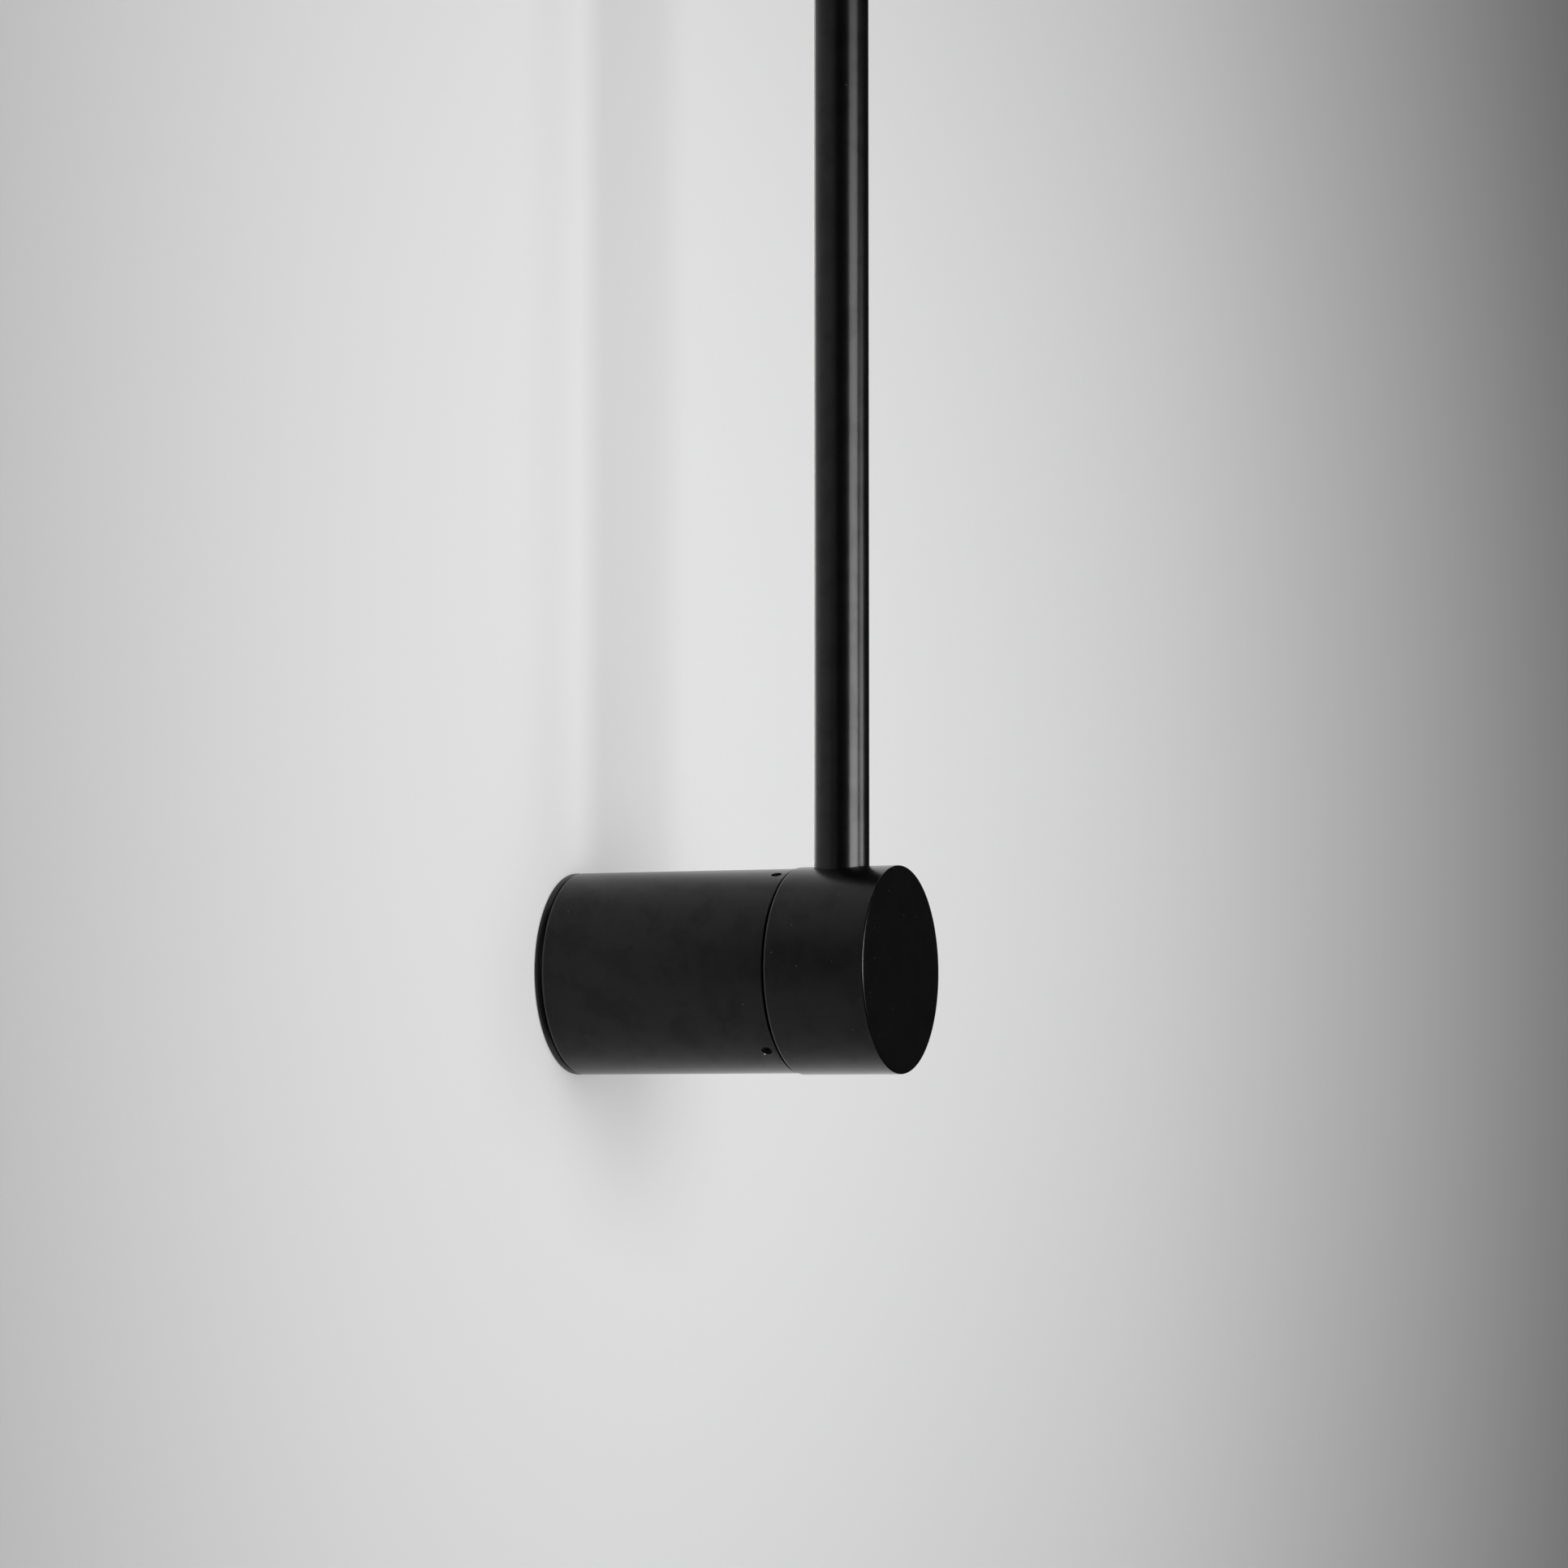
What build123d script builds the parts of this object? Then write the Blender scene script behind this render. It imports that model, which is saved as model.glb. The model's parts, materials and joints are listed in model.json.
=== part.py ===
"""Tube wall light: a round base drum on the wall, a head that swivels on its front, and a slim light tube.

Millimetres. The wall is the plane y = 0 and the room is on its -Y side. +Z is up and the origin is the
centre of the plate that lies on the wall, on the axis that the head turns about. Depth means the distance
from the wall, so a depth of 72 is y = -72.
"""

import os
from math import cos, radians, sin

from build123d import *

# ---- Driving dimensions ------------------------------------------------------------------------------
OVERALL_HEIGHT = 600.0  # underside of the head to the top of the tube
BASE_R = 30.0  # base drum and wall plate
HEAD_R = 30.4  # the head is turned a little larger than the drum
TUBE_R = 8.0  # light tube
PLATE_RIM_T = 1.8  # wall plate at its visible rim
SHADOW_GAP = 0.4  # dark line between plate and drum
PLATE_LAND_R = BASE_R - 0.8  # land that carries the drum
BASE_LENGTH = 70.0
SEAM_GAP = 0.6  # dark line between drum and head
HEAD_LENGTH = 31.0
TUBE_DEPTH = 85.2  # depth of the tube's own axis
SWIVEL_LIMIT = 175.0  # degrees each way, so 350 in all

# ---- Depths and heights worked out from them ---------------------------------------------------------
PLATE_T = PLATE_RIM_T + SHADOW_GAP
BASE_FRONT = PLATE_T + BASE_LENGTH
HEAD_REAR = BASE_FRONT + SEAM_GAP
HEAD_FRONT = HEAD_REAR + HEAD_LENGTH
TUBE_TOP = OVERALL_HEIGHT - HEAD_R

# ---- Fits and fasteners ------------------------------------------------------------------------------
THREAD_PLAY = 0.02  # screw flank to hole wall
SLIP = 0.05  # parts that slide or turn in each other
M3_R = 1.5
M3_HEAD_R = 2.9
M3_CLEAR_R = 1.7
STEM_R = 5.0  # M10 x 1 hollow stem
STEM_BORE_R = 3.25
M3_SINK_R = M3_HEAD_R + 0.1
SINK_ANGLE = 90
PAN_HEAD_R, PAN_HEAD_T = 2.7, 1.8
SCREW_TIP_DEPTH = 0.4  # screws tapped into the wall plate end here
M2_R = 1.0
M2_HEAD_R, M2_HEAD_T = 1.8, 1.2
CUT_PAST = 1.0  # how far a cut runs past the face it opens
RADIUS_MATCH = 0.01  # tells the edges of one radius from the others

# ---- Base drum ---------------------------------------------------------------------------------------
DRUM_WALL = 2.0
DRUM_BORE_R = BASE_R - DRUM_WALL
PORT_PITCH_R = 25.0  # screw ports of the extrusion
PORT_OUTER_R = 3.4
PORT_ANGLE = 52.0
PORT_SLIT = 1.2
DRUM_EDGE = 0.2  # bevel on the rims of drum and plate
GRUB_ANGLE = 112.0  # first of three grub screws, from +X towards +Z
GRUB_DEPTH = BASE_FRONT - 3.1
GRUB_SINK = 0.45  # end of the grub screw below the drum's surface
GRUB_SOCKET_HALF_W, GRUB_SOCKET_DEPTH = 0.75, 1.5

# ---- Bulkhead that carries the swivel ----------------------------------------------------------------
BULKHEAD_T = 10.0
BULKHEAD_FRONT = BASE_FRONT - 0.6
BULKHEAD_RIM_T = 1.2  # between the stop groove and the hollow
BULKHEAD_REAR = BULKHEAD_FRONT - BULKHEAD_T
BULKHEAD_R = DRUM_BORE_R - SLIP
BULKHEAD_WEB_T = 5.0
BULKHEAD_HUB_R = 9.0
RIB_COUNT, RIB_T, RIB_SETBACK = 6, 2.0, 0.8
RETAINING_GROOVE_W = 3.4
RETAINING_GROOVE_BOTTOM_R = 26.4
THRUST_R = 12.0
THRUST_SEAT = 0.8
STOP_R = 23.5  # circle that the stop pin runs on
STOP_PIN_R = 1.2
STOP_GROOVE_W = 3.2
STOP_GROOVE_DEPTH = 3.0
STOP_ANGLE = radians(180 - SWIVEL_LIMIT)  # from the middle of the lug to the pin at the stop
STOP_LUG_W = 2 * (STOP_R * sin(STOP_ANGLE) - STOP_PIN_R - SLIP)

# ---- Head --------------------------------------------------------------------------------------------
HEAD_WALL = 2.4
HEAD_BORE_R = HEAD_R - HEAD_WALL
HEAD_FACE_T = 3.0
HEAD_EDGE = 0.4  # bevel round the front face
HEAD_REAR_EDGE = 0.25
HEAD_BACK_T = 4.0
HEAD_BOSS_PITCH_R = 16.0
HEAD_BOSS_R = 3.2
HEAD_BOSS_ANGLE = 30.0
TUBE_HOLE_R = TUBE_R + 0.15
SADDLE_HALF_W = 9.8
SADDLE_LOW, SADDLE_HIGH = 10.0, 25.8
SADDLE_REAR = 87.0

# ---- Light tube --------------------------------------------------------------------------------------
TUBE_WALL = 1.2
TUBE_BOTTOM = 10.0
OPENING_HALF_W = 5.0  # slot that faces the wall
WEB_T = 1.2
CAP_T = 1.5
TUBE_SCREW_HEIGHTS = (14.0, 22.0)
DIFFUSER_BOTTOM = HEAD_R + 0.1
DIFFUSER_R = TUBE_R + 0.3  # the cover is domed and stands just proud
DIFFUSER_T = 1.0
BOARD_W, BOARD_T = 8.0, 1.0
RAIL_W, RAIL_PLAY = 0.7, 0.1
WEB_W = 2 * (TUBE_R - TUBE_WALL) + 0.5  # runs into the wall on both sides
BOARD_LOW, BOARD_HIGH = 34.0, TUBE_TOP - 6.0
CHIP_X, CHIP_Y, CHIP_Z = 2.8, 0.8, 3.5
CHIP_PITCH = 16.6

# ---- Wiring space ------------------------------------------------------------------------------------
GROMMET_R, GROMMET_FLANGE_R, GROMMET_BORE_R = 7.0, 9.5, 3.5
GROMMET_SINK = 0.2
WALL_SLOT_SPACING, WALL_SLOT_L, WALL_SLOT_W = 40.0, 10.0, 4.5
DRIVER_LEFT, DRIVER_RIGHT = -9.0, 20.0  # to the right, so that a screwdriver reaches the terminals
DRIVER_HALF_H = 14.0
DRIVER_REAR, DRIVER_FRONT = 14.5, 46.5
COVER_T = 4.0
BRACKET_T, BRACKET_HALF_W = 1.2, 9.0
FOOT_LEFT = 10.5
FOOT_X, FOOT_Z = 15.0, 5.0
DRIVER_SCREW_DEPTHS = (23.0, 38.0)
DRIVER_SCREW_BITE = 5.0
LEAD_R = 1.6
CORE_R = 0.9
NOZZLE_R, NOZZLE_LENGTH, NOZZLE_BORE_L = 3.4, 3.0, 7.0
BLOCK_LEFT, BLOCK_RIGHT = -20.5, -9.5
BLOCK_HALF_H = 13.0
BLOCK_FRONT = 13.0
BLOCK_X = (BLOCK_LEFT + BLOCK_RIGHT) / 2
POLE_HEIGHTS = (8.0, 0.0, -8.0)
POLE_DEPTH = 6.5
POLE_R = 1.9
BARRIER_HEIGHTS = (4.0, -4.0)  # between the poles


def at_depth(depth):
    """Plane parallel to the wall: local x is +X, local y is +Z, and extrusions go into the room."""
    return Plane.XZ.offset(depth)


def at_height(height):
    """Plane square to the tube, centred on the tube's axis: local x is +X, local y points to the wall."""
    return Plane(origin=(0, -TUBE_DEPTH, height), x_dir=(1, 0, 0), z_dir=(0, 0, 1))


FROM_WALL_SIDE = Plane(origin=(0, 0, 0), x_dir=(1, 0, 0), z_dir=(0, 1, 0))


def outward(angle, radius, depth):
    """Plane tangent to a circle round the swivel axis, facing away from it."""
    direction = (cos(radians(angle)), 0, sin(radians(angle)))
    origin = (radius * direction[0], -depth, radius * direction[2])
    return Plane(origin=origin, x_dir=(0, -1, 0), z_dir=direction)


GRUB_ANGLES = [GRUB_ANGLE + 120 * n for n in range(3)]
PORTS = dict(radius=PORT_PITCH_R, count=3, start_angle=PORT_ANGLE)
HEAD_BOSSES = dict(radius=HEAD_BOSS_PITCH_R, count=3, start_angle=HEAD_BOSS_ANGLE)

# ======================================================================================================
# Fixed to the wall
# ======================================================================================================

# ---- Wall plate: turned rim, a land that carries the drum, wall slots and a cable hole ---------------
with BuildPart() as wall_plate:
    with BuildSketch(at_depth(0)):
        Circle(BASE_R)
    extrude(amount=PLATE_RIM_T)
    with BuildSketch(at_depth(PLATE_RIM_T)):
        Circle(PLATE_LAND_R)
    extrude(amount=SHADOW_GAP)
    chamfer(wall_plate.edges().filter_by(GeomType.CIRCLE).sort_by(Axis.Y)[-1], DRUM_EDGE)
    with BuildSketch(at_depth(0)):
        Circle(GROMMET_R)
        with GridLocations(0, WALL_SLOT_SPACING, 1, 2):
            SlotOverall(WALL_SLOT_L, WALL_SLOT_W, rotation=90)
        with Locations((FOOT_X, FOOT_Z), (FOOT_X, -FOOT_Z)):
            Circle(M3_R)
        with Locations((BLOCK_X, BARRIER_HEIGHTS[0])):
            Circle(M2_R)
    extrude(amount=PLATE_T, mode=Mode.SUBTRACT)
    with Locations(FROM_WALL_SIDE):
        with PolarLocations(PORT_PITCH_R, 3, start_angle=-PORT_ANGLE):
            CounterSinkHole(M3_CLEAR_R, M3_SINK_R, depth=PLATE_T, counter_sink_angle=SINK_ANGLE)

# ---- Countersunk screws from behind the plate into the drum's screw ports ----------------------------
SCREW_SINK = 0.1
PLATE_SCREW_L = 9.4
SINK_RIM_R = M3_HEAD_R - 0.05
STAND_ON_PLANE = (Align.CENTER, Align.CENTER, Align.MIN)
with BuildPart() as plate_screws:
    with Locations(at_depth(SCREW_SINK)):
        with PolarLocations(**PORTS):
            Cone(SINK_RIM_R, M3_R, SINK_RIM_R - M3_R, align=STAND_ON_PLANE)
            Cylinder(M3_R - THREAD_PLAY, PLATE_SCREW_L, align=STAND_ON_PLANE)

# ---- Grommet in the cable hole -----------------------------------------------------------------------
GROMMET_FLANGE_T, GROMMET_SLOPE = 1.8, 0.6
GROMMET_END = PLATE_T + GROMMET_FLANGE_T
with BuildPart() as cable_grommet:
    with BuildSketch(Plane.XY):
        with BuildLine():
            Polyline(
                (GROMMET_BORE_R, -GROMMET_SINK),
                (GROMMET_R - SLIP, -GROMMET_SINK),
                (GROMMET_R - SLIP, -PLATE_T),
                (GROMMET_FLANGE_R, -PLATE_T),
                (GROMMET_FLANGE_R - GROMMET_SLOPE, -GROMMET_END),
                (GROMMET_BORE_R, -GROMMET_END),
                close=True,
            )
        make_face()
    revolve(axis=Axis.Y)

# ---- Base drum: extruded tube with three C-shaped screw ports ----------------------------------------
with BuildPart() as base_housing:
    with BuildSketch(at_depth(PLATE_T)):
        Circle(BASE_R)
        Circle(DRUM_BORE_R, mode=Mode.SUBTRACT)
        with PolarLocations(**PORTS):
            Circle(PORT_OUTER_R)
        with PolarLocations(**PORTS):
            Circle(M3_R, mode=Mode.SUBTRACT)
        with PolarLocations(PORT_PITCH_R - PORT_OUTER_R / 2, 3, start_angle=PORT_ANGLE):
            Rectangle(PORT_OUTER_R + PORT_SLIT / 2, PORT_SLIT, mode=Mode.SUBTRACT)
    extrude(amount=BASE_LENGTH)
    with BuildSketch(at_depth(BULKHEAD_REAR)):
        Circle(DRUM_BORE_R)
    extrude(amount=BASE_FRONT - BULKHEAD_REAR, mode=Mode.SUBTRACT)
    rims = base_housing.edges().filter_by(GeomType.CIRCLE)
    rims = [rim for rim in rims if abs(rim.radius - BASE_R) < RADIUS_MATCH]
    chamfer(rims, DRUM_EDGE)
    for angle in GRUB_ANGLES:
        with BuildSketch(outward(angle, DRUM_BORE_R - CUT_PAST, GRUB_DEPTH)):
            Circle(M3_R)
        extrude(amount=DRUM_WALL + 2 * CUT_PAST, mode=Mode.SUBTRACT)

# ---- Grub screws that lock the bulkhead in the drum, each with a hexagon socket ----------------------
GRUB_TIP_R = RETAINING_GROOVE_BOTTOM_R + SLIP
GRUB_END_R = BASE_R - GRUB_SINK
with BuildPart() as grub_screws:
    for angle in GRUB_ANGLES:
        with BuildSketch(outward(angle, GRUB_TIP_R, GRUB_DEPTH)):
            Circle(M3_R - THREAD_PLAY)
        extrude(amount=GRUB_END_R - GRUB_TIP_R)
        with BuildSketch(outward(angle, GRUB_END_R - GRUB_SOCKET_DEPTH, GRUB_DEPTH)):
            RegularPolygon(GRUB_SOCKET_HALF_W, 6, major_radius=False)
        extrude(amount=GRUB_SOCKET_DEPTH, mode=Mode.SUBTRACT)

# ---- Bulkhead: plugs the drum and carries the swivel -------------------------------------------------
with BuildPart() as swivel_bulkhead:
    with BuildSketch(Plane.XY):
        groove_near = -(GRUB_DEPTH - RETAINING_GROOVE_W / 2)
        groove_far = -(GRUB_DEPTH + RETAINING_GROOVE_W / 2)
        rim_inner_r = STOP_R - STOP_GROOVE_W / 2 - BULKHEAD_RIM_T
        web_rear = -(BULKHEAD_FRONT - BULKHEAD_WEB_T)
        with BuildLine():
            Polyline(
                (STEM_R + SLIP, -BULKHEAD_REAR),
                (BULKHEAD_HUB_R, -BULKHEAD_REAR),
                (BULKHEAD_HUB_R, web_rear),
                (rim_inner_r, web_rear),
                (rim_inner_r, -BULKHEAD_REAR),
                (BULKHEAD_R, -BULKHEAD_REAR),
                (BULKHEAD_R, groove_near),
                (RETAINING_GROOVE_BOTTOM_R, groove_near),
                (RETAINING_GROOVE_BOTTOM_R, groove_far),
                (BULKHEAD_R, groove_far),
                (BULKHEAD_R, -BULKHEAD_FRONT),
                (THRUST_R + SLIP, -BULKHEAD_FRONT),
                (THRUST_R + SLIP, -(BULKHEAD_FRONT - THRUST_SEAT)),
                (STEM_R + SLIP, -(BULKHEAD_FRONT - THRUST_SEAT)),
                close=True,
            )
        make_face()
    revolve(axis=Axis.Y)
    with BuildSketch(at_depth(BULKHEAD_REAR + RIB_SETBACK)):
        with PolarLocations((BULKHEAD_HUB_R + rim_inner_r) / 2, RIB_COUNT):
            Rectangle(rim_inner_r - BULKHEAD_HUB_R + CUT_PAST, RIB_T)
    extrude(amount=BULKHEAD_T - BULKHEAD_WEB_T - RIB_SETBACK)
    with BuildSketch(at_depth(BULKHEAD_FRONT - STOP_GROOVE_DEPTH)):
        Circle(STOP_R + STOP_GROOVE_W / 2)
        Circle(STOP_R - STOP_GROOVE_W / 2, mode=Mode.SUBTRACT)
        with Locations((0, -STOP_R)):
            Rectangle(STOP_LUG_W, 2 * STOP_GROOVE_W, mode=Mode.SUBTRACT)
    extrude(amount=STOP_GROOVE_DEPTH, mode=Mode.SUBTRACT)

# ---- Thrust washers: the front one sets the seam between drum and head -------------------------------
RUNNING_FACE = 0.02
WASHER_BORE_R = STEM_R + 0.3
with BuildPart() as front_thrust_washer:
    with BuildSketch(at_depth(BULKHEAD_FRONT - THRUST_SEAT)):
        Circle(THRUST_R)
        Circle(WASHER_BORE_R, mode=Mode.SUBTRACT)
    extrude(amount=HEAD_REAR - RUNNING_FACE - (BULKHEAD_FRONT - THRUST_SEAT))

REAR_WASHER_T = 1.0
REAR_WASHER = BULKHEAD_REAR - REAR_WASHER_T
with BuildPart() as rear_thrust_washer:
    with BuildSketch(at_depth(REAR_WASHER)):
        Circle(BULKHEAD_HUB_R)
        Circle(WASHER_BORE_R, mode=Mode.SUBTRACT)
    extrude(amount=REAR_WASHER_T)

# ---- Mains terminal block with three poles -----------------------------------------------------------
BARRIER_SLOT_L, BARRIER_SLOT_W, BARRIER_SLOT_DEPTH = 5.0, 1.6, 2.5
BLOCK_EDGE = 0.8
FUNNEL_PLAY = 0.1
with BuildPart() as terminal_block:
    with BuildSketch(at_depth(PLATE_T)):
        with Locations((BLOCK_X, 0)):
            Rectangle(BLOCK_RIGHT - BLOCK_LEFT, 2 * BLOCK_HALF_H)
    extrude(amount=BLOCK_FRONT - PLATE_T)
    chamfer(terminal_block.edges().filter_by(Axis.Y), BLOCK_EDGE)
    with BuildSketch(at_depth(BLOCK_FRONT - BARRIER_SLOT_DEPTH)):
        for side in (BLOCK_LEFT, BLOCK_RIGHT):
            with Locations(*[(side, height) for height in BARRIER_HEIGHTS]):
                Rectangle(BARRIER_SLOT_L, BARRIER_SLOT_W)
    extrude(amount=BARRIER_SLOT_DEPTH, mode=Mode.SUBTRACT)
    with BuildSketch(Plane.YZ.offset(BLOCK_LEFT)):
        with Locations(*[(-POLE_DEPTH, height) for height in POLE_HEIGHTS]):
            Rectangle(2 * POLE_R, 2 * POLE_R)
    extrude(amount=BLOCK_RIGHT - BLOCK_LEFT, mode=Mode.SUBTRACT)
    with BuildSketch(at_depth(POLE_DEPTH)):
        with Locations(*[(BLOCK_X, height) for height in POLE_HEIGHTS]):
            Circle(POLE_R + FUNNEL_PLAY)
    extrude(amount=BLOCK_FRONT - POLE_DEPTH, mode=Mode.SUBTRACT)
    with BuildSketch(at_depth(PLATE_T)):
        with Locations((BLOCK_X, BARRIER_HEIGHTS[0])):
            Circle(M2_R + FUNNEL_PLAY)
    extrude(amount=BLOCK_FRONT - PLATE_T, mode=Mode.SUBTRACT)

with BuildPart() as terminal_block_screw:
    with BuildSketch(at_depth(SCREW_TIP_DEPTH)):
        with Locations((BLOCK_X, BARRIER_HEIGHTS[0])):
            Circle(M2_R - THREAD_PLAY)
    extrude(amount=BLOCK_FRONT - SCREW_TIP_DEPTH)
    with BuildSketch(at_depth(BLOCK_FRONT)):
        with Locations((BLOCK_X, BARRIER_HEIGHTS[0])):
            Circle(M2_HEAD_R)
    extrude(amount=M2_HEAD_T)

# ---- Clamping screws of the three poles, with a slot for the screwdriver -----------------------------
CLAMP_SCREW = POLE_DEPTH + CORE_R + 0.1
CLAMP_SCREW_L = 4.0
DRIVE_SLOT_W, DRIVE_SLOT_DEPTH = 0.7, 1.0
with BuildPart() as terminal_screws:
    with BuildSketch(at_depth(CLAMP_SCREW)):
        with Locations(*[(BLOCK_X, height) for height in POLE_HEIGHTS]):
            Circle(POLE_R)
    extrude(amount=CLAMP_SCREW_L)
    with BuildSketch(at_depth(CLAMP_SCREW + CLAMP_SCREW_L - DRIVE_SLOT_DEPTH)):
        with Locations(*[(BLOCK_X, height) for height in POLE_HEIGHTS]):
            Rectangle(3 * POLE_R, DRIVE_SLOT_W)
    extrude(amount=DRIVE_SLOT_DEPTH, mode=Mode.SUBTRACT)

# ---- Live and neutral leads: out of their poles, then forward into the back of the driver ------------
LEAD_TURN_X = -2.3
SUPPLY_BEND = 7.0


def supply_lead(height):
    """Route of one core from its pole to the driver."""
    return FilletPolyline(
        (BLOCK_X, -POLE_DEPTH, height),
        (LEAD_TURN_X, -POLE_DEPTH, height),
        (LEAD_TURN_X, -DRIVER_REAR, height),
        radius=SUPPLY_BEND,
    )


with BuildPart() as live_lead:
    with BuildLine():
        supply_lead(POLE_HEIGHTS[0])
    with BuildSketch(Plane.YZ.offset(BLOCK_X)):
        with Locations((-POLE_DEPTH, POLE_HEIGHTS[0])):
            Circle(CORE_R)
    sweep()

with BuildPart() as neutral_lead:
    with BuildLine():
        supply_lead(POLE_HEIGHTS[1])
    with BuildSketch(Plane.YZ.offset(BLOCK_X)):
        with Locations((-POLE_DEPTH, POLE_HEIGHTS[1])):
            Circle(CORE_R)
    sweep()

# ---- Earth lug: a ring under the lower bracket screw and a barrel that points down to the left -------
LUG_T = 0.8
LUG_FACE = PLATE_T + BRACKET_T
LUG_RING_R = 3.4
BARREL_R = 1.6
BARREL_NEAR, BARREL_MOUTH = 4.4, 8.4  # along the lug, from the middle of its ring
NECK_L, NECK_W = 4.0, 2.8  # flat neck between ring and barrel
BARREL_DEPTH = LUG_FACE + BARREL_R
LUG_ANGLE = 225.0


def on_lug(reach):
    """Point on the barrel's axis, so far from the middle of the ring."""
    x = FOOT_X + reach * cos(radians(LUG_ANGLE))
    z = -FOOT_Z + reach * sin(radians(LUG_ANGLE))
    return (x, -BARREL_DEPTH, z)


with BuildPart() as earth_lug:
    with BuildSketch(at_depth(LUG_FACE)):
        with Locations((FOOT_X, -FOOT_Z)):
            Circle(LUG_RING_R)
            with PolarLocations(BARREL_NEAR, 1, start_angle=LUG_ANGLE):
                Rectangle(NECK_L, NECK_W)
    extrude(amount=LUG_T)
    barrel_plane = Plane(
        origin=on_lug(BARREL_NEAR),
        x_dir=(0, -1, 0),
        z_dir=(cos(radians(LUG_ANGLE)), 0, sin(radians(LUG_ANGLE))),
    )
    with BuildSketch(barrel_plane):
        Circle(BARREL_R)
    extrude(amount=BARREL_MOUTH - BARREL_NEAR)
    with BuildSketch(barrel_plane):
        Circle(CORE_R)
    extrude(amount=BARREL_MOUTH - BARREL_NEAR, mode=Mode.SUBTRACT)
    with BuildSketch(at_depth(LUG_FACE)):
        with Locations((FOOT_X, -FOOT_Z)):
            Circle(M3_CLEAR_R)
    extrude(amount=LUG_T, mode=Mode.SUBTRACT)

# ---- Earth lead from its pole to the lug -------------------------------------------------------------
EARTH_TURN_X = -7.0
EARTH_RUN_IN = 4.6  # straight piece in front of the barrel
EARTH_BENDS = [12.0, 5.5]
with BuildPart() as earth_lead:
    with BuildLine():
        FilletPolyline(
            (BLOCK_X, -POLE_DEPTH, POLE_HEIGHTS[2]),
            (EARTH_TURN_X, -POLE_DEPTH, POLE_HEIGHTS[2]),
            on_lug(BARREL_MOUTH + EARTH_RUN_IN),
            on_lug(BARREL_NEAR),
            radius=EARTH_BENDS,
        )
    with BuildSketch(Plane.YZ.offset(BLOCK_X)):
        with Locations((-POLE_DEPTH, POLE_HEIGHTS[2])):
            Circle(CORE_R)
    sweep()

# ---- Sheet-steel bracket that holds the driver -------------------------------------------------------
BRACKET_LEG_X = DRIVER_RIGHT
BRACKET_END = DRIVER_FRONT - 2
BRACKET_BEND_R = 1.5
with BuildPart() as driver_bracket:
    with BuildSketch(Plane.XY.offset(-BRACKET_HALF_W)):
        with BuildLine():
            Polyline(
                (FOOT_LEFT, -PLATE_T),
                (BRACKET_LEG_X + BRACKET_T, -PLATE_T),
                (BRACKET_LEG_X + BRACKET_T, -BRACKET_END),
                (BRACKET_LEG_X, -BRACKET_END),
                (BRACKET_LEG_X, -PLATE_T - BRACKET_T),
                (FOOT_LEFT, -PLATE_T - BRACKET_T),
                close=True,
            )
        make_face()
    extrude(amount=2 * BRACKET_HALF_W)
    bend = driver_bracket.edges().filter_by(Axis.Z).group_by(Axis.X)[-1].sort_by(Axis.Y)[-1]
    fillet(bend, BRACKET_BEND_R)
    with BuildSketch(at_depth(PLATE_T)):
        with Locations((FOOT_X, FOOT_Z), (FOOT_X, -FOOT_Z)):
            Circle(M3_CLEAR_R)
    extrude(amount=BRACKET_T, mode=Mode.SUBTRACT)
    with BuildSketch(Plane.YZ.offset(BRACKET_LEG_X)):
        with Locations(*[(-depth, 0) for depth in DRIVER_SCREW_DEPTHS]):
            Circle(M3_CLEAR_R)
    extrude(amount=BRACKET_T, mode=Mode.SUBTRACT)

# ---- Pan-head screws of the bracket's foot -----------------------------------------------------------
with BuildPart() as bracket_screws:
    with BuildSketch(at_depth(SCREW_TIP_DEPTH)):
        with Locations((FOOT_X, FOOT_Z), (FOOT_X, -FOOT_Z)):
            Circle(M3_R - THREAD_PLAY)
    extrude(amount=LUG_FACE + LUG_T - SCREW_TIP_DEPTH)
    for seat, height in ((LUG_FACE, FOOT_Z), (LUG_FACE + LUG_T, -FOOT_Z)):
        with BuildSketch(at_depth(seat)):
            with Locations((FOOT_X, height)):
                Circle(PAN_HEAD_R)
        extrude(amount=PAN_HEAD_T)

# ---- Driver: moulded case, snap-on cover and the screws that hold it to the bracket ------------------
CASE_EDGE = 1.5
NOZZLE_TAPER = 6
with BuildPart() as driver_case:
    with BuildSketch(at_depth(DRIVER_REAR)):
        with Locations(((DRIVER_LEFT + COVER_T + DRIVER_RIGHT) / 2, 0)):
            Rectangle(DRIVER_RIGHT - DRIVER_LEFT - COVER_T, 2 * DRIVER_HALF_H)
    extrude(amount=DRIVER_FRONT - DRIVER_REAR)
    right_edges = driver_case.edges().filter_by(Axis.Y).group_by(Axis.X)[-1]
    fillet(right_edges, CASE_EDGE)
    with BuildSketch(at_depth(DRIVER_FRONT)):
        Circle(NOZZLE_R)
    extrude(amount=NOZZLE_LENGTH, taper=NOZZLE_TAPER)
    with BuildSketch(at_depth(DRIVER_FRONT + NOZZLE_LENGTH)):
        Circle(LEAD_R + SLIP)
    extrude(amount=-NOZZLE_BORE_L, mode=Mode.SUBTRACT)
    with BuildSketch(Plane.YZ.offset(DRIVER_RIGHT)):
        with Locations(*[(-depth, 0) for depth in DRIVER_SCREW_DEPTHS]):
            Circle(M3_R)
    extrude(amount=-DRIVER_SCREW_BITE - CUT_PAST, mode=Mode.SUBTRACT)

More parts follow.
